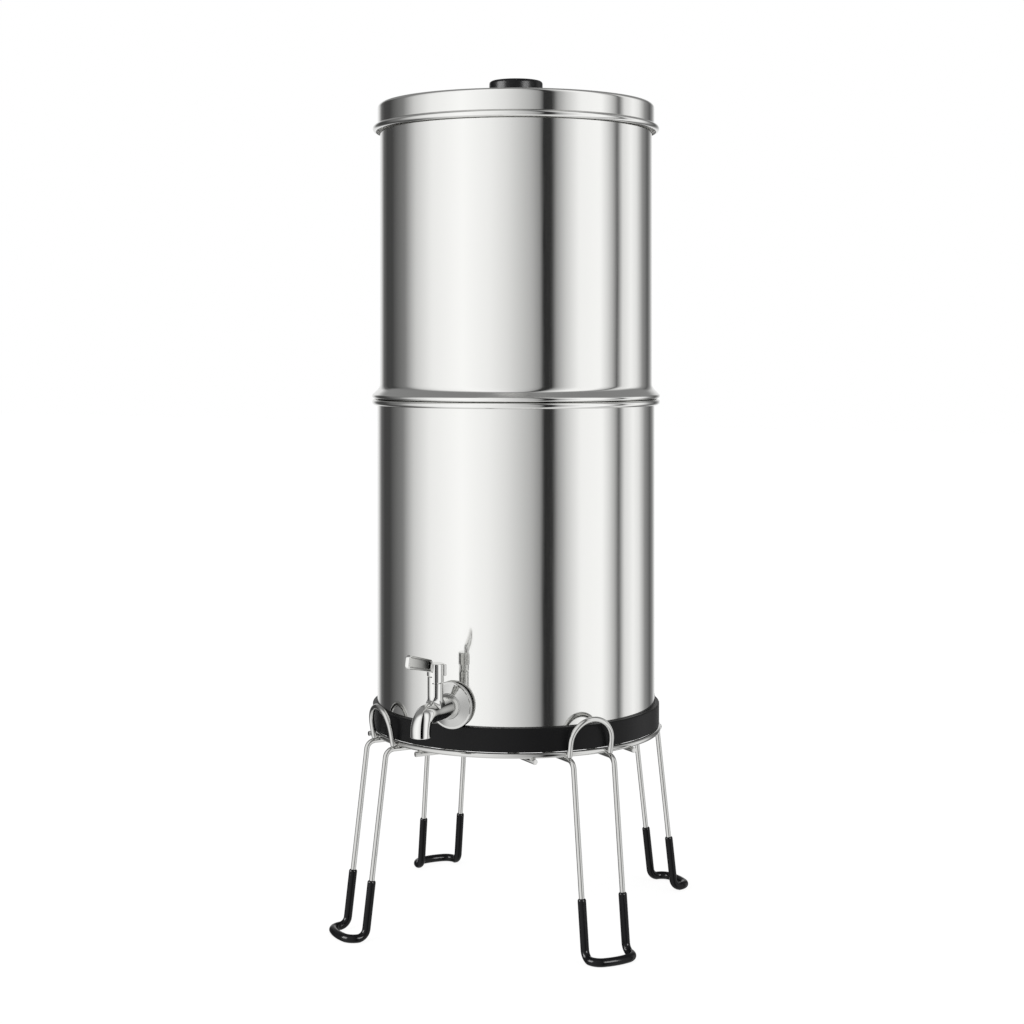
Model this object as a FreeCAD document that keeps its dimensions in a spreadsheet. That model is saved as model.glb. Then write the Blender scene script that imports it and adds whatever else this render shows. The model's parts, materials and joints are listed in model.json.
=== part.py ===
import FreeCAD, Part
import math
import os

import Sketcher
from FreeCAD import Placement, Rotation, Vector

# Gravity water filter with tap: two nested stainless chambers with a lid, filter candles
# inside the upper one, a quarter-turn tap on the lower one, all on a bent wire stand.
# Millimetres. Z = 0 is the floor, the vessel's axis is Z, and the tap points along -Y.

SIZES = {
    # sheet metal and common clearances
    "sheet": 0.7,
    "rest_gap": 0.3,
    "snug": 0.05,
    "weld_gap": 0.3,
    "weld_bite": 0.15,
    # wire stand
    "wire_d": 4.0,
    "ring_spread": 3.0,
    "ring_mid_height": 144.0,
    "leg_turn": 53.7,
    "strut_offset": 17.15,
    "strut_spread": 7.3,
    "strut_splay": 7.1,
    "return_offset": 42.0,
    "return_inset": 4.0,
    "loop_length": 53.0,
    "shoulder_bend": 6.5,
    "foot_length": 16.15,
    "foot_bulge": 3.5,
    "foot_bend": 7.0,
    "foot_corner": 9.0,
    "foot_crown": 45.0,
    "arch_height": 27.2,
    "arch_lean": 10.0,
    # dipped foot coating
    "coat_d": 6.2,
    "coat_top": 44.5,
    # lower chamber and its rubber base band
    "lower_radius": 108.0,
    "lower_height": 251.55,
    "base_corner": 3.0,
    "rim_curl": 2.4,
    "lower_rim_flare": 4.1,
    "rim_turn": 1.4,
    "band_wall": 3.6,
    "band_height": 17.5,
    "band_floor": 1.5,
    "band_lip": 11.0,
    "band_edge": 1.0,
    # upper chamber and the bead that it stands on
    "nesting_gap": 1.3,
    "nesting_depth": 13.4,
    "upper_height": 225.6,
    "upper_rim_flare": 5.7,
    "bead_height": 9.4,
    "bead_overhang": 0.1,
    "bead_curl": 1.9,
    # lid and knob
    "lid_flare": 1.9,
    "lid_height": 16.2,
    "lid_corner": 3.0,
    "lid_neck_gap": 0.8,
    "lid_neck_depth": 11.0,
    "knob_radius": 20.9,
    "knob_height": 18.9,
    "knob_cap": 8.4,
    "knob_neck": 11.0,
    "knob_foot": 13.0,
    "knob_edge": 1.6,
    "knob_thread": 2.5,
    "knob_thread_depth": 11.0,
    "knob_screw_head": 4.7,
    "knob_screw_head_height": 3.2,
    "knob_washer_radius": 7.5,
    "knob_washer": 1.0,
    # filter candles
    "candle_spacing": 90.0,
    "candle_radius": 28.5,
    "candle_height": 178.0,
    "candle_dome": 9.0,
    "candle_base_radius": 30.0,
    "candle_base": 9.0,
    "stem_radius": 5.0,
    "stem_bore": 2.2,
    "stem_length": 24.0,
    "stem_clearance": 0.3,
    "candle_washer_radius": 12.0,
    "candle_washer": 2.5,
    "wing_nut_radius": 8.0,
    "wing_nut_height": 8.0,
    "wing_span": 34.0,
    "wing_thickness": 3.0,
    "wing_height": 12.0,
    # tap, measured from the chamber's surface outwards
    "tap_rise": 30.75,
    "shank_radius": 6.0,
    "shank_inside": 12.5,
    "shank_clearance": 0.2,
    "pipe_radius": 7.2,
    "column_reach": 27.2,
    "column_radius": 5.65,
    "column_height": 20.4,
    "stop_height": 4.5,
    "stop_sweep": 88.0,
    "stop_start": 4.0,
    "stop_play": 1.5,
    "spout_reach": 49.4,
    "spout_bend": 10.5,
    "spout_drop": 14.8,
    "spout_bore": 5.4,
    "inlet_bore": 3.0,
    "valve_bore": 4.0,
    "valve_fit": 0.05,
    "valve_floor": 5.4,
    "flange_radius": 17.4,
    "flange_rim": 2.2,
    "flange_cone_radius": 15.6,
    "flange_cone": 3.4,
    "flange_neck_radius": 9.2,
    "flange_neck": 1.2,
    "flange_lip": 0.8,
    "outer_washer": 1.8,
    "outer_washer_radius": 15.5,
    "inner_washer": 2.5,
    "inner_washer_radius": 11.0,
    "nut_flats": 22.0,
    "nut_height": 5.0,
    # valve core and lever
    "core_stem": 3.2,
    "core_stem_rise": 11.2,
    "core_port": 2.6,
    "seal_section": 1.4,
    "seal_spacing": 6.6,
    "cap_radius": 6.1,
    "cap_rise": 14.1,
    "cap_edge": 0.7,
    "cap_gap": 0.1,
    "blade_start": 7.6,
    "blade_end": 43.4,
    "blade_root_height": 8.8,
    "blade_tip_height": 10.0,
    "blade_thickness": 3.6,
    "blade_rise": 13.0,
    "blade_root_rise": 13.4,
    "blade_corner": 3.0,
    "panel_border": 1.4,
    "panel_depth": 0.6,
    "blade_neck_height": 6.4,
    "blade_neck_rise": 10.8,
    "blade_neck_thickness": 3.0,
    "lug_reach": 5.9,
    "lug_radius": 2.0,
    "lug_turn": 115.0,
    "grub_radius": 1.4,
    "grub_rise": 8.6,
}

doc = FreeCAD.newDocument("gravity_water_filter")


class Size:
    """A length with its value and the sheet expression that it comes from."""

    def __init__(self, value, text):
        self.value = float(value)
        self.text = text

    def joined(self, other, sign, value):
        text = other.text if isinstance(other, Size) else repr(float(other))
        return Size(value, "(%s %s %s)" % (self.text, sign, text))

    def __add__(self, other):
        return self.joined(other, "+", self.value + number(other))

    def __sub__(self, other):
        return self.joined(other, "-", self.value - number(other))

    def __mul__(self, other):
        return self.joined(other, "*", self.value * number(other))

    def __truediv__(self, other):
        return self.joined(other, "/", self.value / number(other))

    def __neg__(self):
        return Size(-self.value, "(0 - %s)" % self.text)


def number(size):
    return size.value if isinstance(size, Size) else float(size)


class Sizes:
    """Every named size of the sheet as an attribute."""


def make_sheet():
    sheet = doc.addObject("Spreadsheet::Sheet", "Sizes")
    named = Sizes()
    for row, (alias, value) in enumerate(SIZES.items(), start=1):
        sheet.set("A%d" % row, alias)
        sheet.set("B%d" % row, str(value))
        sheet.setAlias("B%d" % row, alias)
        setattr(named, alias, Size(value, "Sizes.%s" % alias))
    doc.recompute()
    return named


D = make_sheet()

# Places that follow from what each piece stands on, hangs from or fits inside.
D.band_foot = D.ring_mid_height + D.wire_d / 2 + D.rest_gap
D.lower_floor = D.band_foot + D.band_floor + D.snug
D.lower_rim_height = D.lower_floor + D.lower_height
D.lower_rim_radius = D.lower_radius + D.lower_rim_flare
D.ring_radius = D.lower_radius + D.ring_spread
D.strut_top_reach = D.ring_radius + D.strut_spread
D.return_reach = D.ring_radius - D.return_inset
D.loop_reach = D.ring_radius - D.loop_length
D.upper_radius = D.lower_radius - D.sheet - D.nesting_gap
D.upper_floor_height = D.lower_rim_height - D.nesting_depth
D.upper_rim_height = D.upper_floor_height + D.upper_height
D.upper_rim_radius = D.upper_radius + D.upper_rim_flare
D.bead_top = D.lower_rim_height + D.bead_height
D.bead_radius = D.lower_rim_radius + D.bead_overhang
D.lid_radius = D.upper_radius + D.lid_flare
D.lid_neck_radius = D.upper_radius - D.sheet - D.lid_neck_gap
D.lid_top = D.upper_rim_height + D.rest_gap + D.lid_height
D.tap_height = D.lower_floor + D.tap_rise
D.spout_tip = D.tap_height - D.spout_drop
D.column_top = D.tap_height + D.column_height
D.core_stem_top = D.column_top + D.core_stem_rise
D.cap_top = D.column_top + D.cap_rise
D.blade_level = D.column_top + D.blade_root_rise
D.blade_neck_level = D.column_top + D.blade_neck_rise
D.grub_level = D.column_top + D.grub_rise
ZERO = Size(0, "0")
NODES = []


def bind(thing, prop, size):
    """Set a property from a size and tie it to the sheet."""
    if isinstance(size, Size):
        thing.setExpression(prop, size.text)
    else:
        setattr(thing, prop, size)


def place(thing, x=0, y=0, z=0, rotation=None):
    """Put a sub-part at a point, each coordinate tied to the sheet."""
    thing.Placement = Placement(Vector(number(x), number(y), number(z)), rotation or Rotation())
    for axis, size in zip("xyz", (x, y, z)):
        if isinstance(size, Size):
            thing.setExpression("Placement.Base.%s" % axis, size.text)
    return thing


def node(thing, name):
    """Name a finished sub-part; its label is its file's name."""
    thing.Label = name
    NODES.append(thing)
    return thing


# Sketches and profile-made solids


def new_sketch(body, plane):
    sketch = body.newObject("Sketcher::SketchObject", body.Name + "_sketch")
    support = [f for f in body.Origin.OriginFeatures if f.Role == plane][0]
    sketch.AttachmentSupport = [(support, "")]
    sketch.MapMode = "FlatFace"
    return sketch


def pin_point(sketch, geometry, end, x, y):
    """Fix a sketch point at sizes measured from the sketch's origin."""
    for kind, axis, size in (("DistanceX", -2, x), ("DistanceY", -1, y)):
        if number(size) == 0:
            sketch.addConstraint(Sketcher.Constraint("PointOnObject", geometry, end, axis))
            continue
        index = sketch.addConstraint(
            Sketcher.Constraint(kind, -1, 1, geometry, end, number(size)))
        if isinstance(size, Size):
            sketch.setExpression("Constraints[%d]" % index, size.text)


def arc_between(start, end, radius, turn):
    """The arc from start to end; turn is 1 when it runs anticlockwise, -1 when clockwise."""
    chord = end - start
    half = chord.Length / 2
    rise = math.sqrt(max(radius * radius - half * half, 0.0))
    side = Vector(-chord.y, chord.x, 0).normalize() * turn
    centre = start + chord * 0.5 + side * rise
    first, last = (start, end) if turn > 0 else (end, start)
    angle_1 = math.atan2(first.y - centre.y, first.x - centre.x)
    angle_2 = math.atan2(last.y - centre.y, last.x - centre.x)
    if angle_2 <= angle_1:
        angle_2 += 2 * math.pi
    circle = Part.Circle(centre, Vector(0, 0, 1), radius)
    return Part.ArcOfCircle(circle, angle_1, angle_2)


def draw_profile(sketch, corners):
    """Closed outline through corners (x, y) or (x, y, radius, turn): the side that ends at a
    corner with a radius is an arc."""
    ends = []
    points = [Vector(number(c[0]), number(c[1]), 0) for c in corners]
    for i, corner in enumerate(corners):
        start, end = points[i - 1], points[i]
        if len(corner) == 4:
            arc = arc_between(start, end, number(corner[2]), corner[3])
            geometry = sketch.addGeometry(arc)
            ends.append((geometry, 1, 2) if corner[3] > 0 else (geometry, 2, 1))
        else:
            geometry = sketch.addGeometry(Part.LineSegment(start, end))
            ends.append((geometry, 1, 2))
    for i, (geometry, first, last) in enumerate(ends):
        following = ends[(i + 1) % len(ends)]
        sketch.addConstraint(
            Sketcher.Constraint("Coincident", geometry, last, following[0], following[1]))
        pin_point(sketch, geometry, last, corners[i][0], corners[i][1])
    for (geometry, first, last), corner in zip(ends, corners):
        if len(corner) == 4:
            index = sketch.addConstraint(
                Sketcher.Constraint("Radius", geometry, number(corner[2])))
            if isinstance(corner[2], Size):
                sketch.setExpression("Constraints[%d]" % index, corner[2].text)


def revolved(name, corners):
    """A body turned about its own Z axis from an outline of (radius, height) corners."""
    body = doc.addObject("PartDesign::Body", name)
    sketch = new_sketch(body, "XZ_Plane")
    draw_profile(sketch, corners)
    turn = body.newObject("PartDesign::Revolution", name + "_turn")
    turn.Profile = sketch
    turn.ReferenceAxis = (sketch, ["V_Axis"])
    turn.Angle = 360
    sketch.Visibility = False
    return body


def padded(name, corners, thickness):
    """A body padded both ways from the XZ plane."""
    body = doc.addObject("PartDesign::Body", name)
    sketch = new_sketch(body, "XZ_Plane")
    draw_profile(sketch, corners)
    pad = body.newObject("PartDesign::Pad", name + "_pad")
    pad.Profile = sketch
    pad.Midplane = True
    bind(pad, "Length", thickness)
    return body


# Primitives and booleans


def cylinder(name, radius, height, x=0, y=0, z=0, rotation=None, sweep=360):
    part = doc.addObject("Part::Cylinder", name)
    bind(part, "Radius", radius)
    bind(part, "Height", height)
    bind(part, "Angle", sweep)
    return place(part, x, y, z, rotation)


def cone(name, radius_1, radius_2, height, x=0, y=0, z=0, rotation=None):
    part = doc.addObject("Part::Cone", name)
    bind(part, "Radius1", radius_1)
    bind(part, "Radius2", radius_2)
    bind(part, "Height", height)
    return place(part, x, y, z, rotation)


def torus(name, radius, section, x=0, y=0, z=0, rotation=None, sweep=360):
    part = doc.addObject("Part::Torus", name)
    bind(part, "Radius1", radius)
    bind(part, "Radius2", section)
    part.Angle3 = sweep
    return place(part, x, y, z, rotation)


def box(name, length, width, height, x=0, y=0, z=0, rotation=None):
    part = doc.addObject("Part::Box", name)
    bind(part, "Length", length)
    bind(part, "Width", width)
    bind(part, "Height", height)
    return place(part, x, y, z, rotation)


def fused(name, parts):
    join = doc.addObject("Part::MultiFuse", name)
    join.Shapes = parts
    join.Refine = True
    return join


def cut(name, base, tools):
    tool = tools[0] if len(tools) == 1 else fused(name + "_tools", tools)
    result = doc.addObject("Part::Cut", name)
    result.Base = base
    result.Tool = tool
    result.Refine = True
    return result


# Wire bending: straight runs joined by tangent arcs


def bent_path(points, radii):
    """A wire path through points, each inner corner bent to its radius."""
    edges = []
    start = points[0]
    for i in range(1, len(points) - 1):
        corner = points[i]
        back = (points[i - 1] - corner).normalize()
        ahead = (points[i + 1] - corner).normalize()
        opening = back.getAngle(ahead)
        reach = radii[i - 1] / math.tan(opening / 2)
        centre = corner + (back + ahead).normalize() * (radii[i - 1] / math.sin(opening / 2))
        into, out = corner + back * reach, corner + ahead * reach
        middle = centre + (corner - centre).normalize() * radii[i - 1]
        if (into - start).Length > 1e-6:
            edges.append(Part.makeLine(start, into))
        edges.append(Part.Arc(into, middle, out).toShape())
        start = out
    if (points[-1] - start).Length > 1e-6:
        edges.append(Part.makeLine(start, points[-1]))
    return Part.Wire(edges)


def round_wire(path, diameter):
    """A round rod along a path."""
    first = path.Edges[0]
    start = first.valueAt(first.FirstParameter)
    along = first.tangentAt(first.FirstParameter)
    section = Part.Wire([Part.makeCircle(diameter / 2, start, along)])
    rod = path.makePipeShell([section], True, False)
    if not rod.isValid() or rod.Volume <= 0:
        raise ValueError("a bent wire did not close")
    return rod


def strut_reach(height):
    """How far a leg's strut stands from the axis at a height."""
    drop = D.ring_mid_height.value - height
    return D.strut_top_reach.value + drop * math.tan(math.radians(D.strut_splay.value))


def foot_reach():
    """How far a foot's tip stands from the axis, measured on from where its strut lands."""
    return strut_reach(D.coat_d.value / 2) + D.foot_length.value


def leg_corners(side):
    """Corners of half a leg wire from its free end under the ring to the foot's side, as
    vectors in the leg's own frame, where -Y is outwards."""
    bar = (D.ring_mid_height - D.wire_d + D.weld_bite).value
    foot = D.coat_d.value / 2
    strut = side * D.strut_offset.value
    back = side * D.return_offset.value
    edge = foot_reach() - D.foot_bulge.value
    return [
        Vector(back, -D.return_reach.value, bar),
        Vector(back, -D.loop_reach.value, bar),
        Vector(strut, -D.loop_reach.value, bar),
        Vector(strut, -strut_reach(bar), bar),
        Vector(strut, -strut_reach(foot), foot),
        Vector(strut, -edge, foot),
    ]


def foot_tip():
    foot = D.coat_d.value / 2
    return Vector(0, -foot_reach(), foot)


def leg_wire():
    """One leg: a single wire with a support loop under the ring at each end, two struts and
    an outward foot."""
    loop = (D.return_offset.value - D.strut_offset.value) / 2
    half_radii = [loop, loop, D.shoulder_bend.value, D.foot_bend.value, D.foot_corner.value]
    left, right = leg_corners(-1), leg_corners(1)
    points = left + [foot_tip()] + right[::-1]
    radii = half_radii + [D.foot_crown.value] + half_radii[::-1]
    return round_wire(bent_path(points, radii), D.wire_d.value)


def foot_coat():
    """The dipped coat on a foot: a tube on the wire, standing on the floor."""
    top = D.coat_top.value
    points = []
    for side in (-1, 1):
        corners = leg_corners(side)[4:]
        corners.insert(0, Vector(side * D.strut_offset.value, -strut_reach(top), top))
        points.append(corners)
    path_points = points[0] + [foot_tip()] + points[1][::-1]
    half_radii = [D.foot_bend.value, D.foot_corner.value]
    path = bent_path(path_points, half_radii + [D.foot_crown.value] + half_radii[::-1])
    return round_wire(path, D.coat_d.value).cut(round_wire(path, D.wire_d.value))


def shaped(name, shape, rotation):
    """A sub-part whose bent form comes from the wire functions above."""
    part = doc.addObject("Part::Feature", name)
    part.Shape = shape
    part.Placement = Placement(Vector(), rotation)
    return node(part, name)


def arch(name, turn):
    """A retaining arch: an inverted U of wire standing on a leg's shoulders, leaning out."""
    wire = D.wire_d / 2
    body = doc.addObject("PartDesign::Body", name)
    path = new_sketch(body, "XZ_Plane")
    side = D.strut_offset.value
    spring = (D.arch_height - D.strut_offset).value
    right = path.addGeometry(Part.LineSegment(Vector(side, 0, 0), Vector(side, spring, 0)))
    bow = path.addGeometry(Part.ArcOfCircle(
        Part.Circle(Vector(0, spring, 0), Vector(0, 0, 1), side), 0, math.pi))
    left = path.addGeometry(Part.LineSegment(Vector(-side, spring, 0), Vector(-side, 0, 0)))
    path.addConstraint(Sketcher.Constraint("Coincident", right, 2, bow, 1))
    path.addConstraint(Sketcher.Constraint("Coincident", bow, 2, left, 1))
    pin_point(path, right, 1, D.strut_offset, ZERO)
    pin_point(path, right, 2, D.strut_offset, D.arch_height - D.strut_offset)
    pin_point(path, bow, 3, ZERO, D.arch_height - D.strut_offset)
    pin_point(path, left, 2, -D.strut_offset, ZERO)
    section = new_sketch(body, "XY_Plane")
    ring = section.addGeometry(Part.Circle(Vector(side, 0, 0), Vector(0, 0, 1), wire.value))
    pin_point(section, ring, 3, D.strut_offset, ZERO)
    radius = section.addConstraint(Sketcher.Constraint("Radius", ring, wire.value))
    section.setExpression("Constraints[%d]" % radius, wire.text)
    pipe = body.newObject("PartDesign::AdditivePipe", name + "_pipe")
    pipe.Profile = section
    pipe.Spine = path
    touch = (D.ring_radius + D.wire_d - D.weld_bite).value
    reach = math.sqrt(touch ** 2 - side ** 2)
    lean = Rotation(Vector(1, 0, 0), D.arch_lean.value)
    about = Rotation(Vector(0, 0, 1), turn)
    foot = D.ring_mid_height - D.wire_d / 2 + D.weld_gap
    inset = (D.wire_d.value / 2 - D.weld_gap.value) * math.tan(math.radians(D.arch_lean.value))
    base = about.multVec(Vector(0, -(reach - inset), foot.value))
    body.Placement = Placement(base, about.multiply(lean))
    return node(body, name)


def make_stand():
    ring = torus("stand_ring", D.ring_radius, D.wire_d / 2, z=D.ring_mid_height)
    node(ring, "stand_ring")
    corners = ("front_right", "rear_right", "rear_left", "front_left")
    leg, coat = leg_wire(), foot_coat()
    for i, corner in enumerate(corners):
        turn = D.leg_turn.value + 360 / len(corners) * i
        about = Rotation(Vector(0, 0, 1), turn)
        shaped("leg_" + corner, leg, about)
        shaped("foot_coat_" + corner, coat, about)
        arch("arch_" + corner, turn)


# Chambers and lid


def seat_bead(radius):
    """The outer and inner outlines of a hollow bead swaged out of the wall: it slopes out,
    curls round and folds back flat where it stands on the lower chamber's rim."""
    seat = D.lower_rim_height + D.rest_gap
    curl = D.bead_curl
    edge = D.bead_radius - curl
    middle = seat + curl
    hollow = curl - D.sheet
    inner = radius - D.sheet
    outside = [
        (radius, seat),
        (edge, seat),
        (D.bead_radius, middle, curl, 1),
        (edge, middle + curl, curl, 1),
        (radius, D.bead_top),
    ]
    inside = [
        (inner, D.bead_top - D.sheet / 2),
        (edge, middle + hollow),
        (edge + hollow, middle, hollow, -1),
        (edge, seat + D.sheet, hollow, -1),
        (inner, seat + D.sheet),
    ]
    return outside, inside


def vessel(name, radius, floor, rim_radius, rim_top, bead=((), ())):
    """A drawn sheet vessel with a rounded bottom corner, a rim curled outwards and, where
    it has one, a bead round its wall."""
    inner = radius - D.sheet
    curl = D.rim_curl
    hollow = D.rim_curl - D.sheet
    centre = rim_radius - curl
    middle = rim_top - curl
    turn = D.rim_turn
    inner_turn = D.rim_turn + D.sheet
    corner = D.base_corner
    return revolved(name, [
        (ZERO, floor),
        (radius - corner, floor),
        (radius, floor + corner, corner, 1),
        *bead[0],
        (radius, rim_top - inner_turn),
        (radius + turn, rim_top - D.sheet, turn, -1),
        (centre, rim_top - D.sheet),
        (centre + hollow, middle, hollow, -1),
        (centre, middle - hollow, hollow, -1),
        (centre, middle - curl),
        (rim_radius, middle, curl, 1),
        (centre, rim_top, curl, 1),
        (inner + inner_turn, rim_top),
        (inner, rim_top - inner_turn, inner_turn, 1),
        *bead[1],
        (inner, floor + corner),
        (radius - corner, floor + D.sheet, corner - D.sheet, -1),
        (ZERO, floor + D.sheet),
    ])


def make_lower_chamber():
    band_foot, floor = D.band_foot, D.lower_floor
    shell = vessel("lower_shell", D.lower_radius, floor, D.lower_rim_radius, D.lower_rim_height)
    hole = cylinder("tap_hole", D.shank_radius + D.shank_clearance, D.lower_radius,
                    z=D.tap_height, rotation=Rotation(Vector(1, 0, 0), 90))
    node(cut("lower_chamber", shell, [hole]), "lower_chamber")
    inside = D.lower_radius + D.snug
    outside = D.lower_radius + D.band_wall
    top = band_foot + D.band_height
    edge = D.band_edge
    corner = D.base_corner
    band = revolved("band_ring", [
        (inside - D.band_lip, band_foot),
        (outside - edge, band_foot),
        (outside, band_foot + edge, edge, 1),
        (outside, top - edge),
        (outside - edge, top, edge, 1),
        (inside, top),
        (inside, floor + corner),
        (inside - corner, floor - D.snug, corner, -1),
        (inside - D.band_lip, floor - D.snug),
    ])
    # The band's top edge is relieved where the tap's flange comes down over it.
    relief = cylinder("flange_relief", D.flange_radius + D.rest_gap, D.lower_radius * 2,
                      z=D.tap_height, rotation=Rotation(Vector(1, 0, 0), 90))
    node(cut("base_band", band, [relief]), "base_band")


def make_upper_chamber():
    shell = vessel("upper_shell", D.upper_radius, D.upper_floor_height, D.upper_rim_radius,
                   D.upper_rim_height, seat_bead(D.upper_radius))
    holes = []
    for side in (-1, 1):
        holes.append(cylinder("stem_hole", D.stem_radius + D.stem_clearance,
                              D.sheet * 3, x=D.candle_spacing / 2 * side,
                              z=D.upper_floor_height - D.sheet))
    node(cut("upper_chamber", shell, holes), "upper_chamber")


def make_lid():
    seat = D.upper_rim_height + D.rest_gap
    sheet = D.sheet
    corner = D.lid_corner
    bore = D.knob_thread + D.snug
    node(revolved("lid", [
        (bore, D.lid_top - sheet),
        (D.lid_radius - corner, D.lid_top - sheet),
        (D.lid_radius - sheet, D.lid_top - corner, corner - sheet, -1),
        (D.lid_radius - sheet, seat + sheet),
        (D.lid_neck_radius - sheet, seat + sheet),
        (D.lid_neck_radius - sheet, seat - D.lid_neck_depth),
        (D.lid_neck_radius, seat - D.lid_neck_depth),
        (D.lid_neck_radius, seat),
        (D.lid_radius, seat),
        (D.lid_radius, D.lid_top - corner),
        (D.lid_radius - corner, D.lid_top, corner, 1),
        (bore, D.lid_top),
    ]), "lid")
    top = D.lid_top + D.knob_height
    under = top - D.knob_cap
    edge = D.knob_edge
    thread = D.knob_thread
    node(revolved("lid_knob", [
        (thread, D.lid_top),
        (D.knob_foot, D.lid_top),
        (D.knob_neck, D.lid_top + (D.knob_foot - D.knob_neck), D.knob_foot - D.knob_neck, -1),
        (D.knob_neck, under - edge),
        (D.knob_neck + edge, under, edge, -1),
        (D.knob_radius - edge, under),
        (D.knob_radius, under + edge, edge, 1),
        (D.knob_radius, top - edge),
        (D.knob_radius - edge, top, edge, 1),
        (ZERO, top),
        (ZERO, D.lid_top + D.knob_thread_depth),
        (thread, D.lid_top + D.knob_thread_depth),
    ]), "lid_knob")
    washer_top = D.lid_top - sheet
    node(revolved("lid_knob_washer", [
        (bore, washer_top - D.knob_washer),
        (D.knob_washer_radius, washer_top - D.knob_washer),
        (D.knob_washer_radius, washer_top),
        (bore, washer_top),
    ]), "lid_knob_washer")
    head_top = washer_top - D.knob_washer
    head = D.knob_screw_head
    shank = thread - D.snug
    node(revolved("lid_knob_screw", [
        (ZERO, head_top - D.knob_screw_head_height),
        (head - edge, head_top - D.knob_screw_head_height),
        (head, head_top - D.knob_screw_head_height + edge, edge, 1),
        (head, head_top),
        (shank, head_top),
        (shank, D.lid_top + D.knob_thread_depth - 1),
        (ZERO, D.lid_top + D.knob_thread_depth - 1),
    ]), "lid_knob_screw")


def make_candle(side, x):
    """A filter candle with its end cap and stem, sealing washer and wing nut."""
    floor_top = D.upper_floor_height + D.sheet
    seat = floor_top + D.candle_washer
    bore = D.stem_radius + D.snug
    washer = revolved("filter_washer_" + side, [
        (bore, floor_top),
        (D.candle_washer_radius, floor_top),
        (D.candle_washer_radius, seat),
        (bore, seat),
    ])
    node(place(washer, x=x), "filter_washer_" + side)
    ring = D.candle_base_radius
    cup = seat + D.candle_base
    base = revolved("filter_base_" + side, [
        (D.stem_bore, seat - D.stem_length),
        (D.stem_radius, seat - D.stem_length),
        (D.stem_radius, seat),
        (ring - D.rim_turn, seat),
        (ring, seat + D.rim_turn, D.rim_turn, 1),
        (ring, cup),
        (D.candle_radius + D.snug, cup),
        (D.candle_radius + D.snug, seat + D.candle_base / 2),
        (D.stem_bore, seat + D.candle_base / 2),
    ])
    node(place(base, x=x), "filter_base_" + side)
    foot = seat + D.candle_base / 2
    top = foot + D.candle_height
    dome = D.candle_dome
    element = revolved("filter_element_" + side, [
        (D.stem_bore, foot),
        (D.candle_radius, foot),
        (D.candle_radius, top - dome),
        (D.candle_radius - dome, top, dome, 1),
        (ZERO, top),
        (ZERO, top - dome * 2),
        (D.stem_bore, top - dome * 2),
    ])
    node(place(element, x=x), "filter_element_" + side)
    nut_top = D.upper_floor_height
    hub = cylinder("wing_hub", D.wing_nut_radius, D.wing_nut_height, x=x,
                   z=nut_top - D.wing_nut_height)
    wings = padded("wings", [
        (D.wing_nut_radius / 2, -D.wing_nut_height),
        (D.wing_span / 2 - D.wing_thickness, -D.wing_height),
        (D.wing_span / 2, -D.wing_height + D.wing_thickness, D.wing_thickness, 1),
        (D.wing_span / 2, -D.wing_thickness * 1.5),
        (D.wing_span / 2 - D.wing_thickness, -D.wing_thickness / 2, D.wing_thickness, 1),
        (D.wing_nut_radius / 2, -D.wing_thickness / 2),
    ], D.wing_thickness)
    place(wings, x=x, z=nut_top)
    mirrored = doc.addObject("Part::Mirroring", "wings_other")
    mirrored.Source = wings
    mirrored.Normal = Vector(1, 0, 0)
    mirrored.setExpression("Base.x", x.text)
    solid = fused("wing_nut_solid", [hub, wings, mirrored])
    hole = cylinder("wing_nut_bore", bore, D.wing_nut_height * 3, x=x,
                    z=nut_top - D.wing_nut_height * 2)
    node(cut("wing_nut_" + side, solid, [hole]), "wing_nut_" + side)


# Tap

OUTWARDS = Rotation(Vector(1, 0, 0), 90)
DOWN_BEND = Rotation(Vector(0, 0, 1), Vector(0, -1, 0), Vector(1, 0, 0), "XYZ")


def outward_part(name, corners):
    """A part turned about the tap's axis, from (radius, distance out of the wall) corners."""
    body = revolved(name, corners)
    return place(body, y=-D.lower_radius, z=D.tap_height, rotation=OUTWARDS)


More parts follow.
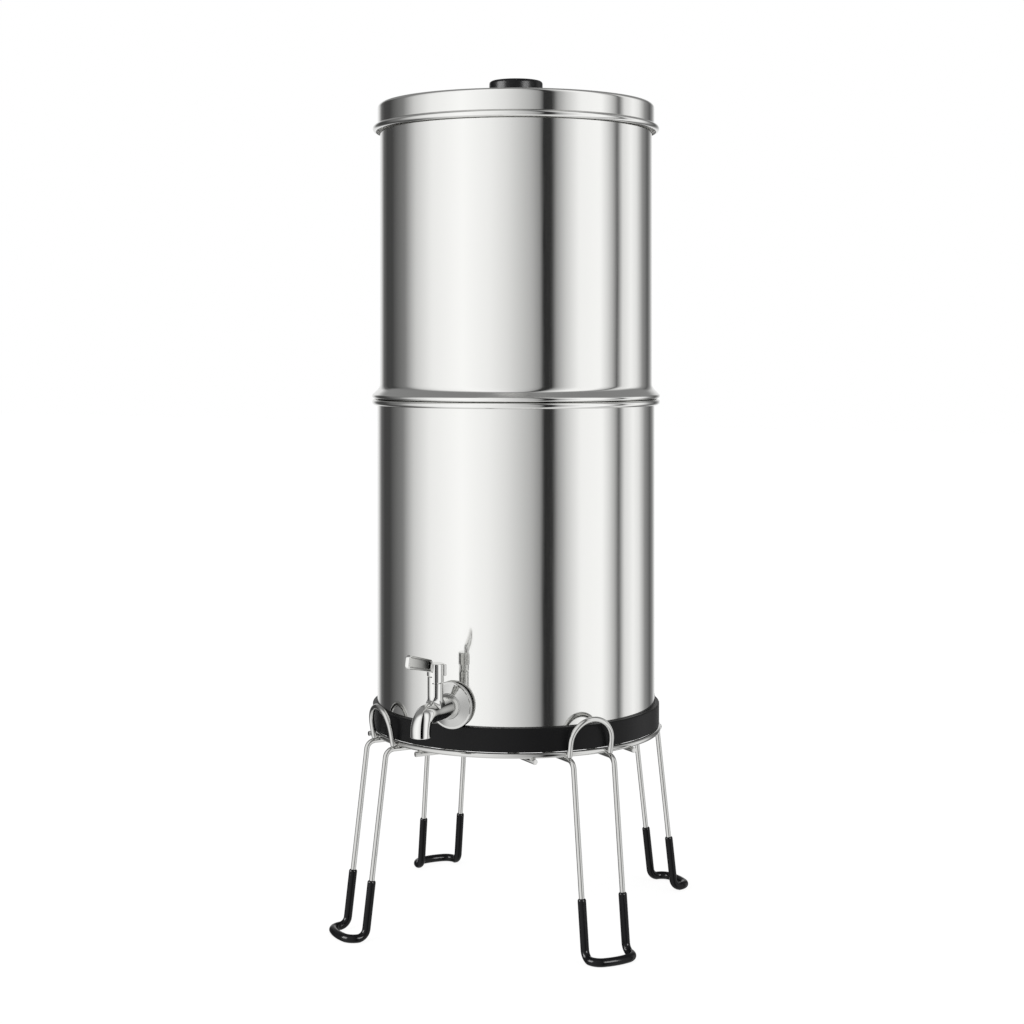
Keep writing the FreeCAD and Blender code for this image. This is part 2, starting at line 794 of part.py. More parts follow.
def make_tap_body():
    axis_y = -D.lower_radius
    height = D.tap_height
    shoulder = D.outer_washer + D.flange_lip
    bend_start = D.spout_reach - D.spout_bend
    column_y = -(D.lower_radius + D.column_reach)
    spout_y = -(D.lower_radius + D.spout_reach)
    bend_y = -(D.lower_radius + bend_start)
    bend_z = D.tap_height - D.spout_bend
    solids = [
        cylinder("tap_shank", D.shank_radius, D.shank_inside + shoulder + 1,
                 y=-(D.lower_radius - D.shank_inside), z=height, rotation=OUTWARDS),
        cylinder("tap_pipe", D.pipe_radius, bend_start - shoulder,
                 y=-(D.lower_radius + shoulder), z=height, rotation=OUTWARDS),
        torus("tap_bend", D.spout_bend, D.pipe_radius, y=bend_y, z=bend_z,
              rotation=DOWN_BEND, sweep=90),
        cylinder("tap_nozzle", D.pipe_radius, bend_z - D.spout_tip, y=spout_y,
                 z=D.spout_tip),
        cylinder("tap_column", D.column_radius, D.column_top - height, y=column_y, z=height),
        cone("tap_column_root", D.pipe_radius, D.column_radius, D.pipe_radius * 0.8, y=column_y,
             z=height + D.pipe_radius - D.column_radius / 3),
        cylinder("tap_stop", D.column_radius, D.stop_height, y=column_y, z=D.column_top,
                 rotation=Rotation(Vector(0, 0, 1),
                                   D.stop_start.value - 90 - D.stop_sweep.value),
                 sweep=D.stop_sweep),
    ]
    valve_foot = height - D.valve_floor
    hollows = [
        cylinder("tap_inlet", D.inlet_bore, D.shank_inside + D.column_reach,
                 y=-(D.lower_radius - D.shank_inside), z=height, rotation=OUTWARDS),
        cylinder("tap_outlet", D.spout_bore, bend_start - D.column_reach - D.valve_bore - 1,
                 y=-(D.lower_radius + D.column_reach + D.valve_bore + 1), z=height,
                 rotation=OUTWARDS),
        cylinder("tap_port", D.inlet_bore, D.column_reach / 2,
                 y=-(D.lower_radius + D.column_reach), z=height, rotation=OUTWARDS),
        torus("tap_bend_bore", D.spout_bend, D.spout_bore, y=bend_y, z=bend_z,
              rotation=DOWN_BEND, sweep=90),
        cylinder("tap_nozzle_bore", D.spout_bore, bend_z - D.spout_tip + 1, y=spout_y,
                 z=D.spout_tip - 1),
        cylinder("tap_valve_bore", D.valve_bore,
                 D.column_top + D.stop_height - valve_foot + 1, y=column_y, z=valve_foot),
    ]
    node(cut("tap_body", fused("tap_casting", solids), hollows), "tap_body")


def make_tap_fixings():
    shank = D.shank_radius + D.snug
    washer = D.outer_washer
    rim = washer + D.flange_rim
    cone_end = rim + D.flange_cone
    bore = D.pipe_radius + D.snug
    lip = washer + D.flange_lip
    node(outward_part("tap_flange", [
        (shank, washer),
        (D.flange_radius - D.flange_rim / 2, washer),
        (D.flange_radius, washer + D.flange_rim / 2, D.flange_rim / 2, 1),
        (D.flange_radius - D.flange_rim / 2, rim, D.flange_rim / 2, 1),
        (D.flange_cone_radius, rim),
        (D.flange_neck_radius, cone_end),
        (D.flange_neck_radius, cone_end + D.flange_neck),
        (bore, cone_end + D.flange_neck),
        (bore, lip),
        (shank, lip),
    ]), "tap_flange")
    # The washers' faces follow the round wall that they seal against.
    slab = outward_part("outer_washer_slab", [
        (shank, -D.outer_washer),
        (D.outer_washer_radius, -D.outer_washer),
        (D.outer_washer_radius, washer),
        (shank, washer),
    ])
    wall = cylinder("wall_outside", D.lower_radius + D.snug, D.nut_flats * 3,
                    z=D.tap_height - D.nut_flats * 1.5)
    node(cut("tap_outer_washer", slab, [wall]), "tap_outer_washer")
    inner_face = -(D.sheet + D.inner_washer)
    inner_slab = outward_part("inner_washer_slab", [
        (shank, inner_face),
        (D.inner_washer_radius, inner_face),
        (D.inner_washer_radius, ZERO + 1),
        (shank, ZERO + 1),
    ])
    inside = cylinder("wall_inside", D.lower_radius - D.sheet - D.snug, D.nut_flats * 3,
                      z=D.tap_height - D.nut_flats * 1.5)
    common = doc.addObject("Part::Common", "tap_inner_washer")
    common.Base = inner_slab
    common.Tool = inside
    node(common, "tap_inner_washer")
    nut_y = -(D.lower_radius + inner_face - D.nut_height)
    hexagon = doc.addObject("Part::Prism", "tap_nut_blank")
    hexagon.Polygon = 6
    bind(hexagon, "Circumradius", D.nut_flats / math.sqrt(3))
    bind(hexagon, "Height", D.nut_height)
    place(hexagon, y=nut_y, z=D.tap_height, rotation=OUTWARDS)
    nut_bore = cylinder("tap_nut_bore", shank, D.nut_height * 3, y=nut_y + D.nut_height,
                        z=D.tap_height, rotation=OUTWARDS)
    node(cut("tap_nut", hexagon, [nut_bore]), "tap_nut")


def make_valve_core():
    """A turning plug with a cross port, two sealing rings and a stem into the lever."""
    column_y = -(D.lower_radius + D.column_reach)
    radius = D.valve_bore - D.valve_fit
    foot = D.tap_height - D.valve_floor + D.rest_gap
    seal = D.seal_section
    groove = radius - seal
    corners = [(ZERO, foot), (radius, foot)]
    levels = [D.tap_height + D.inlet_bore + seal, D.tap_height + D.inlet_bore + D.seal_spacing]
    for level in levels:
        corners += [
            (radius, level),
            (groove, level),
            (groove, level + seal),
            (radius, level + seal),
        ]
    corners += [
        (radius, D.column_top + D.stop_height),
        (D.core_stem, D.column_top + D.stop_height),
        (D.core_stem, D.core_stem_top),
        (ZERO, D.core_stem_top),
    ]
    plug = place(revolved("valve_plug", corners), y=column_y)
    port = cylinder("valve_port", D.core_port, D.valve_bore * 4,
                    x=-D.valve_bore * 2, y=column_y, z=D.tap_height,
                    rotation=Rotation(Vector(0, 1, 0), 90))
    node(cut("valve_core", plug, [port]), "valve_core")
    rings = []
    for level in levels:
        rings.append(torus("seal_ring", groove + seal / 2, seal / 2, y=column_y,
                           z=level + seal / 2))
    node(fused("valve_seal_rings", rings), "valve_seal_rings")


def make_lever():
    """Cap with a half-turn skirt that meets the column's stop, and a blade with sunk panels."""
    column_y = -(D.lower_radius + D.column_reach)
    cap_foot = D.column_top + D.stop_height + D.cap_gap
    edge = D.cap_edge
    cap = place(revolved("lever_cap", [
        (ZERO, cap_foot),
        (D.cap_radius, cap_foot),
        (D.cap_radius, D.cap_top - edge),
        (D.cap_radius - edge, D.cap_top, edge, 1),
        (ZERO, D.cap_top),
    ]), y=column_y)
    skirt = cylinder("lever_skirt", D.cap_radius, D.stop_height, y=column_y,
                     z=D.column_top + D.cap_gap,
                     rotation=Rotation(Vector(0, 0, 1),
                                       D.stop_start.value + D.stop_play.value - 90),
                     sweep=Size(180, "180") - D.stop_play * 2)
    root, tip = D.blade_root_height / 2, D.blade_tip_height / 2
    corner = D.blade_corner
    blade = blade_plate("lever_blade", D.blade_start, D.blade_end, root, tip, corner,
                        D.blade_thickness)
    border = D.panel_border
    panels = []
    for side in (-1, 1):
        sunk = blade_plate("lever_panel", D.blade_start + border, D.blade_end - border,
                           root - border, tip - border, corner - border, D.panel_depth * 2)
        panels.append((sunk, D.blade_thickness / 2 * side))
    pointing = Rotation(Vector(0, 0, 1), -90)
    tilt = pointing.multiply(Rotation(Vector(0, 1, 0), -D.blade_rise.value))
    place(blade, y=column_y, z=D.blade_level - D.blade_rise_drop, rotation=tilt)
    for sunk, offset in panels:
        place(sunk, x=offset, y=column_y, z=D.blade_level - D.blade_rise_drop, rotation=tilt)
    plate = cut("lever_plate", blade, [sunk for sunk, offset in panels])
    neck_end = D.blade_start + border
    neck = box("lever_neck", D.blade_neck_thickness, neck_end, D.blade_neck_height,
               x=-D.blade_neck_thickness / 2, y=column_y - neck_end,
               z=D.blade_neck_level - D.blade_neck_height / 2)
    # A lug on the cap's side gives its grub screw a longer thread.
    turn = math.radians(D.lug_turn.value - 90)
    outwards = Vector(math.cos(turn), math.sin(turn), 0)
    sideways = Rotation(Vector(0, 0, 1), outwards)
    lug = cylinder("lever_lug", D.lug_radius, D.cap_top - edge - cap_foot,
                   x=D.lug_reach * outwards.x, y=column_y + D.lug_reach * outwards.y,
                   z=cap_foot)
    socket = cylinder("lever_socket", D.core_stem + D.snug,
                      D.core_stem_top - D.column_top + D.snug, y=column_y, z=D.column_top)
    skirt_bore = cylinder("lever_skirt_bore", D.valve_bore + D.snug,
                          D.stop_height + D.cap_gap, y=column_y, z=D.column_top)
    grub_hole = cylinder("lever_grub_hole", D.grub_radius + D.snug, D.cap_radius * 2,
                         y=column_y, z=D.grub_level, rotation=sideways)
    solid = fused("lever_solid", [cap, skirt, plate, neck, lug])
    node(cut("tap_lever", solid, [socket, skirt_bore, grub_hole]), "tap_lever")
    start = D.core_stem + D.snug
    length = D.lug_reach + D.lug_radius - edge - start
    node(cylinder("lever_grub_screw", D.grub_radius, length, x=start * outwards.x,
                  y=column_y + start * outwards.y, z=D.grub_level, rotation=sideways),
         "lever_grub_screw")


def blade_plate(name, start, end, root, tip, corner, thickness):
    """A flat bar that widens from its root to its tip, with rounded ends, along +X."""
    return padded(name, [
        (start, -root + corner),
        (start + corner, -root, corner, 1),
        (end - corner, -tip),
        (end, -tip + corner, corner, 1),
        (end, tip - corner),
        (end - corner, tip, corner, 1),
        (start + corner, root),
        (start, root - corner, corner, 1),
    ], thickness)


def check_document():
    """Stop before anything is written if a feature failed or a sub-part is not sound."""
    for thing in doc.Objects:
        states = set(thing.State)
        if "Invalid" in states or "Error" in states:
            raise ValueError("%s failed" % thing.Label)
    for part in NODES:
        shape = part.Shape
        if shape.isNull() or not shape.isValid() or not shape.Solids:
            raise ValueError("%s is not a sound solid" % part.Label)


D.blade_rise_drop = D.blade_start * math.tan(math.radians(D.blade_rise.value))

make_stand()
make_lower_chamber()
make_upper_chamber()
make_lid()
make_candle("left", -D.candle_spacing / 2)
make_candle("right", D.candle_spacing / 2)
make_tap_body()
make_tap_fixings()
make_valve_core()
make_lever()

doc.recompute()
check_document()
os.makedirs("parts", exist_ok=True)
for part in NODES:
    part.Shape.exportStep("parts/%s.step" % part.Label)
    print(part.Label, len(part.Shape.Solids), round(part.Shape.Volume, 1))
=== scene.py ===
import json
import math

import bpy
import numpy as np
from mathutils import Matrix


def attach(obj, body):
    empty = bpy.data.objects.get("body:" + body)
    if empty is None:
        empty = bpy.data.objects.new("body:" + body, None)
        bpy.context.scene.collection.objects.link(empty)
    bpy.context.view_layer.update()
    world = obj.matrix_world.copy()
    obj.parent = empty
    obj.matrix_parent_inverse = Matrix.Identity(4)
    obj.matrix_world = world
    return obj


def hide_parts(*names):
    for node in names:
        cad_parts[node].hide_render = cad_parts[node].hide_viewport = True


# Gravity water filter with tap: the looks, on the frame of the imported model.
# The pieces are in millimetres up to the moment that a mesh is made, the studio is in
# metres. The tap points along -Y.

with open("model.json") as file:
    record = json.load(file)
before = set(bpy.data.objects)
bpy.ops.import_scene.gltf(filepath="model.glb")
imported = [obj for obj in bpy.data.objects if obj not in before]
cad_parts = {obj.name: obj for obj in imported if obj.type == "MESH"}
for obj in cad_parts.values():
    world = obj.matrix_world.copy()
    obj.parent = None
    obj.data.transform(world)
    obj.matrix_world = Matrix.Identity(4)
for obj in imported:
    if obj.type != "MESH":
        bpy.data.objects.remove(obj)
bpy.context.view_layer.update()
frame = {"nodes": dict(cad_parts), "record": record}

MM = 0.001

# Camera: level, as the photograph was taken
CAMERA_TURN = 25.3
CAMERA_DISTANCE = 1471.4
CAMERA_HEIGHT = 441.9
CAMERA_LENS = 66.16
CAMERA_SENSOR = 36.0
CAMERA_SHIFT = (-0.0039, -0.1641)

# Sheet metal and fits
SHEET = 0.7
REST_GAP = 0.3
SNUG = 0.05

# Stand
WIRE = 4.0
RING_RADIUS = 111.0
RING_HEIGHT = 144.0
LEG_TURN = 53.7
CORNERS = ("front_right", "rear_right", "rear_left", "front_left")
WELD_BITE = 0.15
BAR_HEIGHT = RING_HEIGHT - WIRE + WELD_BITE
STRUT_OFFSET = 17.15
STRUT_TOP_REACH = 118.3
STRUT_SPLAY = 7.1
RETURN_OFFSET = 42.0
RETURN_REACH = 107.0
LOOP_REACH = 58.0
SHOULDER_BEND = 6.5
FOOT_REACH = 152.0
FOOT_BULGE = 3.5
FOOT_BEND = 7.0
FOOT_CORNER = 9.0
FOOT_CROWN = 45.0
COAT = 6.2
COAT_TOP = 44.5
COAT_LIP = 1.6
COAT_SINK = 0.1
ARCH_HEIGHT = 27.2
ARCH_LEAN = 10.0
ARCH_GAP = 0.3
ARCH_WELD_DROP = 0.6

# Chambers and band
LOWER_RADIUS = 108.0
LOWER_RIM_HEIGHT = 399.4
LOWER_RIM_RADIUS = 112.1
BASE_CORNER = 3.0
RIM_CURL = 2.4
RIM_TURN = 1.4
BAND_FOOT = RING_HEIGHT + WIRE / 2 + REST_GAP
BAND_WALL = 3.6
BAND_HEIGHT = 17.5
BAND_FLOOR = 1.5
BAND_LIP = 11.0
BAND_EDGE = 1.0
UPPER_RADIUS = 106.0
UPPER_FLOOR = 386.0
UPPER_RIM_HEIGHT = 611.6
UPPER_RIM_RADIUS = 111.7
BEAD_TOP = 408.8
BEAD_RADIUS = 112.2
BEAD_CURL = 1.9
BEAD_SWEEP = 0.62
BEAD_FILLET = 6.5

# Lid and knob
LID_RADIUS = 107.9
LID_TOP = 628.1
LID_CORNER = 3.0
LID_NECK_RADIUS = 104.5
LID_NECK_DEPTH = 11.0
KNOB_RADIUS = 20.9
KNOB_HEIGHT = 18.9
KNOB_CAP = 8.4
KNOB_CROWN = 2.2
KNOB_NECK = 11.0
KNOB_FOOT = 13.0
KNOB_FOOT_HEIGHT = 2.0
KNOB_EDGE = 1.6
KNOB_THREAD = 2.5
KNOB_THREAD_DEPTH = 11.0

# Tap
TAP_HEIGHT = 178.6
PIPE_RADIUS = 7.2
PIPE_BORE = 5.4
SHANK_RADIUS = 6.0
SHANK_LENGTH = 12.5
SHANK_END = 110.6
INLET_BORE = 3.0
BORE_SPREAD = 141.0
BORE_SPREAD_LENGTH = 4.0
COLUMN_REACH = 135.2
COLUMN_RADIUS = 5.65
COLUMN_TOP = 199.0
COLUMN_EDGE = 0.25
ROOT_SPREAD = 1.3
ROOT_STRETCH = 4.4
ROOT_RISE = 1.6
STOP_HEIGHT = 4.5
STOP_SWEEP = 88.0
STOP_START = 4.0
STOP_PLAY = 1.5
VALVE_BORE = 4.0
VALVE_FLOOR = 4.0
SPOUT_REACH = 157.4
SPOUT_BEND = 10.5
SPOUT_TIP = 163.8
FLANGE_RADIUS = 17.4
WASHER = 1.8
FLANGE_RIM = 2.2
FLANGE_CONE_RADIUS = 15.6
FLANGE_CONE = 3.4
FLANGE_NECK_RADIUS = 9.2
FLANGE_NECK = 1.2
FLANGE_RECESS = 0.8
SHOULDER_REACH = 116.65
SHOULDER_SWELL = 1.85
SWELL_END = 143.0
CAP_RADIUS = 6.1
CAP_TOP = 213.1
CAP_EDGE = 0.7
CAP_GAP = 0.7
BLADE_START = 7.6
BLADE_END = 43.4
BLADE_ROOT = 8.8
BLADE_TIP = 10.0
BLADE_THICKNESS = 3.6
BLADE_RISE = 13.0
BLADE_LEVEL = 212.4
BLADE_CORNER = 3.0
PANEL_BORDER = 1.4
PANEL_DEPTH = 0.9
GROOVE_DEPTH = 0.3
NECK_START = 3.0
NECK_OVERLAP = 2.6
NECK_LEVEL = 209.4
LUG_TURN = 115.0
LUG_REACH = 5.9
LUG_RADIUS = 2.0
COLUMN_AXIS = np.array([0.0, -COLUMN_REACH, 0.0])


# Making meshes


def turns(count):
    """The angles of a full turn in even steps."""
    return np.linspace(0, 2 * math.pi, count, endpoint=False)


def placed(name, data):
    """A new object in the scene."""
    thing = bpy.data.objects.new(name, data)
    bpy.context.scene.collection.objects.link(thing)
    return thing


def faces_of(ids, close_rows):
    """Quads over a grid of vertex numbers whose rows are closed rings. A row that is drawn
    together to one point gives triangles."""
    rows, columns = ids.shape
    steps = np.arange(rows if close_rows else rows - 1), np.arange(columns)
    i, j = (a.ravel() for a in np.meshgrid(*steps, indexing="ij"))
    below, right = (i + 1) % rows, (j + 1) % columns
    quads = np.stack([ids[i, j], ids[i, right], ids[below, right], ids[below, j]], axis=1)
    made = []
    for quad in quads.tolist():
        corners = [v for k, v in enumerate(quad) if v != quad[k - 1]]
        if len(corners) > 2:
            made.append(corners)
    return made


def surface(name, grid, close_rows=False, sharp=35.0):
    """A smooth mesh from rings of points, rows by columns by three, in millimetres. Rows
    whose points all coincide become one vertex, and open ends stay open."""
    rows, columns, _ = grid.shape
    ids = np.arange(rows * columns).reshape(rows, columns)
    for row in range(rows):
        if np.ptp(grid[row], axis=0).max() < 1e-6:
            ids[row] = ids[row, 0]
    used, flat = np.unique(ids, return_inverse=True)
    points = grid.reshape(-1, 3)[used] * MM
    mesh = bpy.data.meshes.new(name)
    mesh.from_pydata(points.tolist(), [], faces_of(flat.reshape(rows, columns), close_rows))
    mesh.update()
    face_outwards(mesh)
    mesh.shade_smooth()
    mesh.set_sharp_from_angle(angle=math.radians(sharp))
    return placed(name, mesh)


def face_outwards(mesh):
    """Turn the faces about when the closed mesh encloses a negative volume."""
    mesh.calc_loop_triangles()
    corners = np.zeros(len(mesh.loop_triangles) * 3, np.int32)
    mesh.loop_triangles.foreach_get("vertices", corners)
    points = np.zeros(len(mesh.vertices) * 3, np.float32)
    mesh.vertices.foreach_get("co", points)
    a, b, c = points.reshape(-1, 3)[corners.reshape(-1, 3)].transpose(1, 0, 2)
    if np.einsum("ij,ij->i", a, np.cross(b, c)).sum() < 0:
        mesh.flip_normals()


def join(name, things):
    """One object from several, keeping each one's own surface."""
    bpy.ops.object.select_all(action="DESELECT")
    for thing in things:
        thing.select_set(True)
    bpy.context.view_layer.objects.active = things[0]
    bpy.ops.object.join()
    joined = things[0]
    joined.name = name
    joined.data.name = name
    bpy.ops.object.select_all(action="DESELECT")
    return joined


def rounded(points, radii, steps=8, support=0.6, closed=False):
    """A path with its corners replaced by tangent arcs, as an array of points. The arc at a
    corner with opening angle a and radius r touches each side at r / tan(a / 2). Each straight
    run gets a point close to each of its ends, so that shading stays flat along it."""
    points = np.asarray(points, float)
    count = len(points)
    path = []
    for i in range(count):
        radius = radii[i]
        if radius <= 0 or (not closed and i in (0, count - 1)):
            path.append(points[i])
            continue
        corner = points[i]
        back = points[i - 1] - corner
        ahead = points[(i + 1) % count] - corner
        room_back, room_ahead = np.linalg.norm(back), np.linalg.norm(ahead)
        back, ahead = back / room_back, ahead / room_ahead
        opening = math.acos(np.clip(back @ ahead, -1, 1))
        reach = radius / math.tan(opening / 2)
        middle = (back + ahead) / np.linalg.norm(back + ahead)
        centre = corner + middle * radius / math.sin(opening / 2)
        first = corner + back * reach - centre
        last = corner + ahead * reach - centre
        sweep = math.pi - opening
        share = np.linspace(0, 1, steps + 1)[:, None]
        arc = np.sin((1 - share) * sweep) * first + np.sin(share * sweep) * last
        arc = centre + arc / math.sin(sweep)
        if room_back > reach + 2 * support:
            path.append(corner + back * (reach + support))
        path.extend(arc)
        if room_ahead > reach + 2 * support:
            path.append(corner + ahead * (reach + support))
    return np.array(path)


def supported(points, support):
    """Extra points near both ends of every long straight run of a path."""
    path = [points[0]]
    for start, end in zip(points[:-1], points[1:]):
        length = np.linalg.norm(end - start)
        if length > 4 * support:
            along = (end - start) / length
            path.append(start + along * support)
            path.append(end - along * support)
        path.append(end)
    return np.array(path)


def revolved(profile, segments):
    """A profile of (radius, height) carried round an axis: r cos t, r sin t and the height."""
    turn = turns(segments)
    radius, height = profile[:, :1], profile[:, 1:]
    return radius * np.cos(turn), radius * np.sin(turn), height + 0 * turn


def lathe(name, outline, radii, segments=256, closed=False):
    """A turned piece: the outline (radius, height) with rounded corners, carried round the
    vertical axis, so a point is (r cos t, r sin t, z)."""
    support = 0.4
    profile = rounded(outline, radii, support=support, closed=closed)
    if not closed:
        profile = supported(profile, support)
    return surface(name, np.stack(revolved(profile, segments), axis=2), close_rows=closed)


def rings_at(turn, rings):
    """Level circles about the vertical axis from pairs of radius and level, each of which may
    vary with the turn."""
    return np.array([np.stack([radius * np.cos(turn), radius * np.sin(turn),
                               level + 0 * turn], axis=1) for radius, level in rings])


def frames_along(path):
    """Unit tangent, side and up vectors along a path, the side vector turned as little as
    possible from one point to the next."""
    ahead = np.gradient(path, axis=0)
    ahead /= np.linalg.norm(ahead, axis=1)[:, None]
    seed = np.array([0.0, 0.0, 1.0]) if abs(ahead[0, 2]) < 0.9 else np.array([1.0, 0.0, 0.0])
    side = np.cross(ahead[0], seed)
    sides = [side / np.linalg.norm(side)]
    for tangent in ahead[1:]:
        side = sides[-1] - tangent * (sides[-1] @ tangent)
        sides.append(side / np.linalg.norm(side))
    sides = np.array(sides)
    return ahead, sides, np.cross(ahead, sides)


def swept(centre, side, up, radii, segments):
    """A circle round each centre: the centre plus r (side cos t + up sin t)."""
    turn = turns(segments)[:, None]
    circle = side[:, None] * np.cos(turn) + up[:, None] * np.sin(turn)
    return centre[:, None] + circle * radii[:, None, None]


def pointed(grid):
    """The grid with its first and last ring closed, each by a row at the ring's middle."""
    first, last = (ring.mean(axis=1, keepdims=True) + 0 * ring
                   for ring in (grid[:1], grid[-1:]))
    return np.concatenate([first, grid, last])


def rod(name, path, radius, start, finish, segments):
    """A round rod along a path: each point of the path carries a circle in the plane across
    it. In place of its first and last point come the rows of start and finish, which give the
    distance from that end and the radius there. Both ends are closed at the middle."""
    ahead, side, up = frames_along(path)
    centre = np.concatenate([path[0] + ahead[0] * start[:, :1], path[1:-1],
                             path[-1] - ahead[-1] * finish[:, :1]])
    radii = np.concatenate([start[:, 1], np.full(len(path) - 2, radius), finish[:, 1]])
    side, up = (np.concatenate([np.repeat(v[:1], len(start), 0), v[1:-1],
                                np.repeat(v[-1:], len(finish), 0)]) for v in (side, up))
    return surface(name, pointed(swept(centre, side, up, radii, segments)))


def turned(points, degrees):
    """Points turned about the vertical axis."""
    c, s = math.cos(math.radians(degrees)), math.sin(math.radians(degrees))
    return points @ np.array([[c, s, 0.0], [-s, c, 0.0], [0.0, 0.0, 1.0]])


# Materials


def colour(code):
    """An sRGB hex colour as the linear values that the shaders take."""
    parts = [int(code[i:i + 2], 16) / 255 for i in (1, 3, 5)]
    return tuple(p / 12.92 if p <= 0.04045 else ((p + 0.055) / 1.055) ** 2.4
                 for p in parts) + (1.0,)


def grey(level):
    return level, level, level, 1.0


def add(tree, kind, inputs=(), **settings):
    """A node with its settings and inputs: an input is a value or another node's output."""
    made = tree.nodes.new(kind)
    for key, value in settings.items():
        setattr(made, key, value)
    for key, value in dict(inputs).items():
        if isinstance(value, bpy.types.NodeSocket):
            tree.links.new(value, made.inputs[key])
        else:
            made.inputs[key].default_value = value
    return made


def maths(tree, operation, *values):
    made = add(tree, "ShaderNodeMath", enumerate(values), operation=operation)
    return made.outputs[0]


def mixed_colour(tree, share, first, second):
    """The colour from first to second as the share rises from 0 to 1."""
    made = add(tree, "ShaderNodeMix", {"Factor": share, "A": first, "B": second},
               data_type="RGBA")
    return made.outputs["Result"]


def mixed_shader(tree, share, first, second):
    """The shader from first to second as the share rises from 0 to 1."""
    made = add(tree, "ShaderNodeMixShader", {"Fac": share, 1: first, 2: second})
    return made.outputs[0]


def ramp(tree, value, stops):
    """Grey that follows a value, from (position, grey) stops."""
    made = add(tree, "ShaderNodeValToRGB", {"Fac": value})
    elements = made.color_ramp.elements
    while len(elements) < len(stops):
        elements.new(0.5)
    for element, (position, level) in zip(elements, stops):
        element.position = position
        element.color = grey(level)
    return made.outputs["Color"]


def noise(tree, repeats, detail):
    """Noise in object coordinates; repeats are those a metre along each axis."""
    place = add(tree, "ShaderNodeTexCoord")
    spread = add(tree, "ShaderNodeMapping", {"Vector": place.outputs["Object"],
                                             "Scale": repeats})
    made = add(tree, "ShaderNodeTexNoise", {"Vector": spread.outputs[0], "Scale": 1.0,
                                            "Detail": detail})
    return made.outputs["Fac"]


def bump(tree, height, strength, distance, **under):
    made = add(tree, "ShaderNodeBump", {"Height": height, "Strength": strength,
                                        "Distance": distance, **under})
    return made.outputs["Normal"]


def finish_named(name, base, metallic, roughness, **more):
    """A material with one principled shader; returns the material, its tree and the shader."""
    material = bpy.data.materials.new(name)
    material.use_nodes = True
    tree = material.node_tree
    shader = tree.nodes["Principled BSDF"]
    shader.inputs["Base Color"].default_value = colour(base)
    shader.inputs["Metallic"].default_value = metallic
    shader.inputs["Roughness"].default_value = roughness
    for key, value in more.items():
        shader.inputs[key.replace("_", " ")].default_value = value
    return material, tree, shader


def polished_sheet():
    """Mirror-polished stainless steel sheet: a deep reflection that is a little unsteady,
    because the sheet was rolled and spun, with faint upright buffing lines that blur it."""
    material, tree, shader = finish_named("mirror_polished_stainless_sheet", "#DDDDDB", 1.0,
                                          0.07)
    # Spun sheet bows by hundredths of a millimetre over some 60 mm.
    slow = noise(tree, (14, 14, 5), 1.0)
    # Buffing lines are 0.05 mm wide; they are drawn 0.6 mm wide so that they show.
    lines = noise(tree, (1600, 1600, 30), 3.0)
    spread = ramp(tree, lines, [(0.3, 0.055), (0.7, 0.11)])
    # Inside, where the normal points at the vessel's axis, the sheet is left satin. There the
    # place times the normal is minus the radius in metres, which is about -0.105.
    inward, satin = -0.08, 0.34
    spot = add(tree, "ShaderNodeNewGeometry")
    level = add(tree, "ShaderNodeVectorMath", {0: spot.outputs["Position"],
                                               1: (1.0, 1.0, 0.0)}, operation="MULTIPLY")
    facing = add(tree, "ShaderNodeVectorMath", {0: level.outputs[0],
                                                1: spot.outputs["True Normal"]},
                 operation="DOT_PRODUCT")
    inside = maths(tree, "LESS_THAN", facing.outputs["Value"], inward)
    rough = maths(tree, "ADD", spread, maths(tree, "MULTIPLY", inside, satin))
    tree.links.new(rough, shader.inputs["Roughness"])
    wave = bump(tree, slow, 0.10, 0.004)
    tree.links.new(bump(tree, lines, 0.03, 0.00005, Normal=wave), shader.inputs["Normal"])
    return material


def polished_solid(name, base, roughness, grain):
    """Polished solid stainless steel: brighter edges than the sheet and a soft haze from the
    polishing wheel, whose marks repeat grain times a metre."""
    material, tree, shader = finish_named(name, base, 1.0, roughness)
    marks = noise(tree, (grain, grain, grain), 4.0)
    spread = ramp(tree, marks, [(0.35, roughness * 0.75), (0.7, roughness * 1.4)])
    tree.links.new(spread, shader.inputs["Roughness"])
    tree.links.new(bump(tree, marks, 0.06, 0.0001), shader.inputs["Normal"])
    return material


def moulded(name, base, light, roughness, grain, depth, sheen=0.5):
    """A moulded material: its colour drifts a little between two tones, and its sheen is
    broken by a fine relief that repeats grain times a metre. A sheen of 0.5 is that of plain
    plastic, and less is duller."""
    material, tree, shader = finish_named(name, base, 0.0, roughness,
                                          Specular_IOR_Level=sheen)
    fine = noise(tree, (grain, grain, grain), 3.0)
    broad = noise(tree, (40, 40, 40), 2.0)
    tone = mixed_colour(tree, broad, colour(base), colour(light))
    tree.links.new(tone, shader.inputs["Base Color"])
    spread = ramp(tree, fine, [(0.3, roughness * 0.85), (0.7, min(1.0, roughness * 1.2))])
    tree.links.new(spread, shader.inputs["Roughness"])
    tree.links.new(bump(tree, fine, depth, 0.0001), shader.inputs["Normal"])
    return material


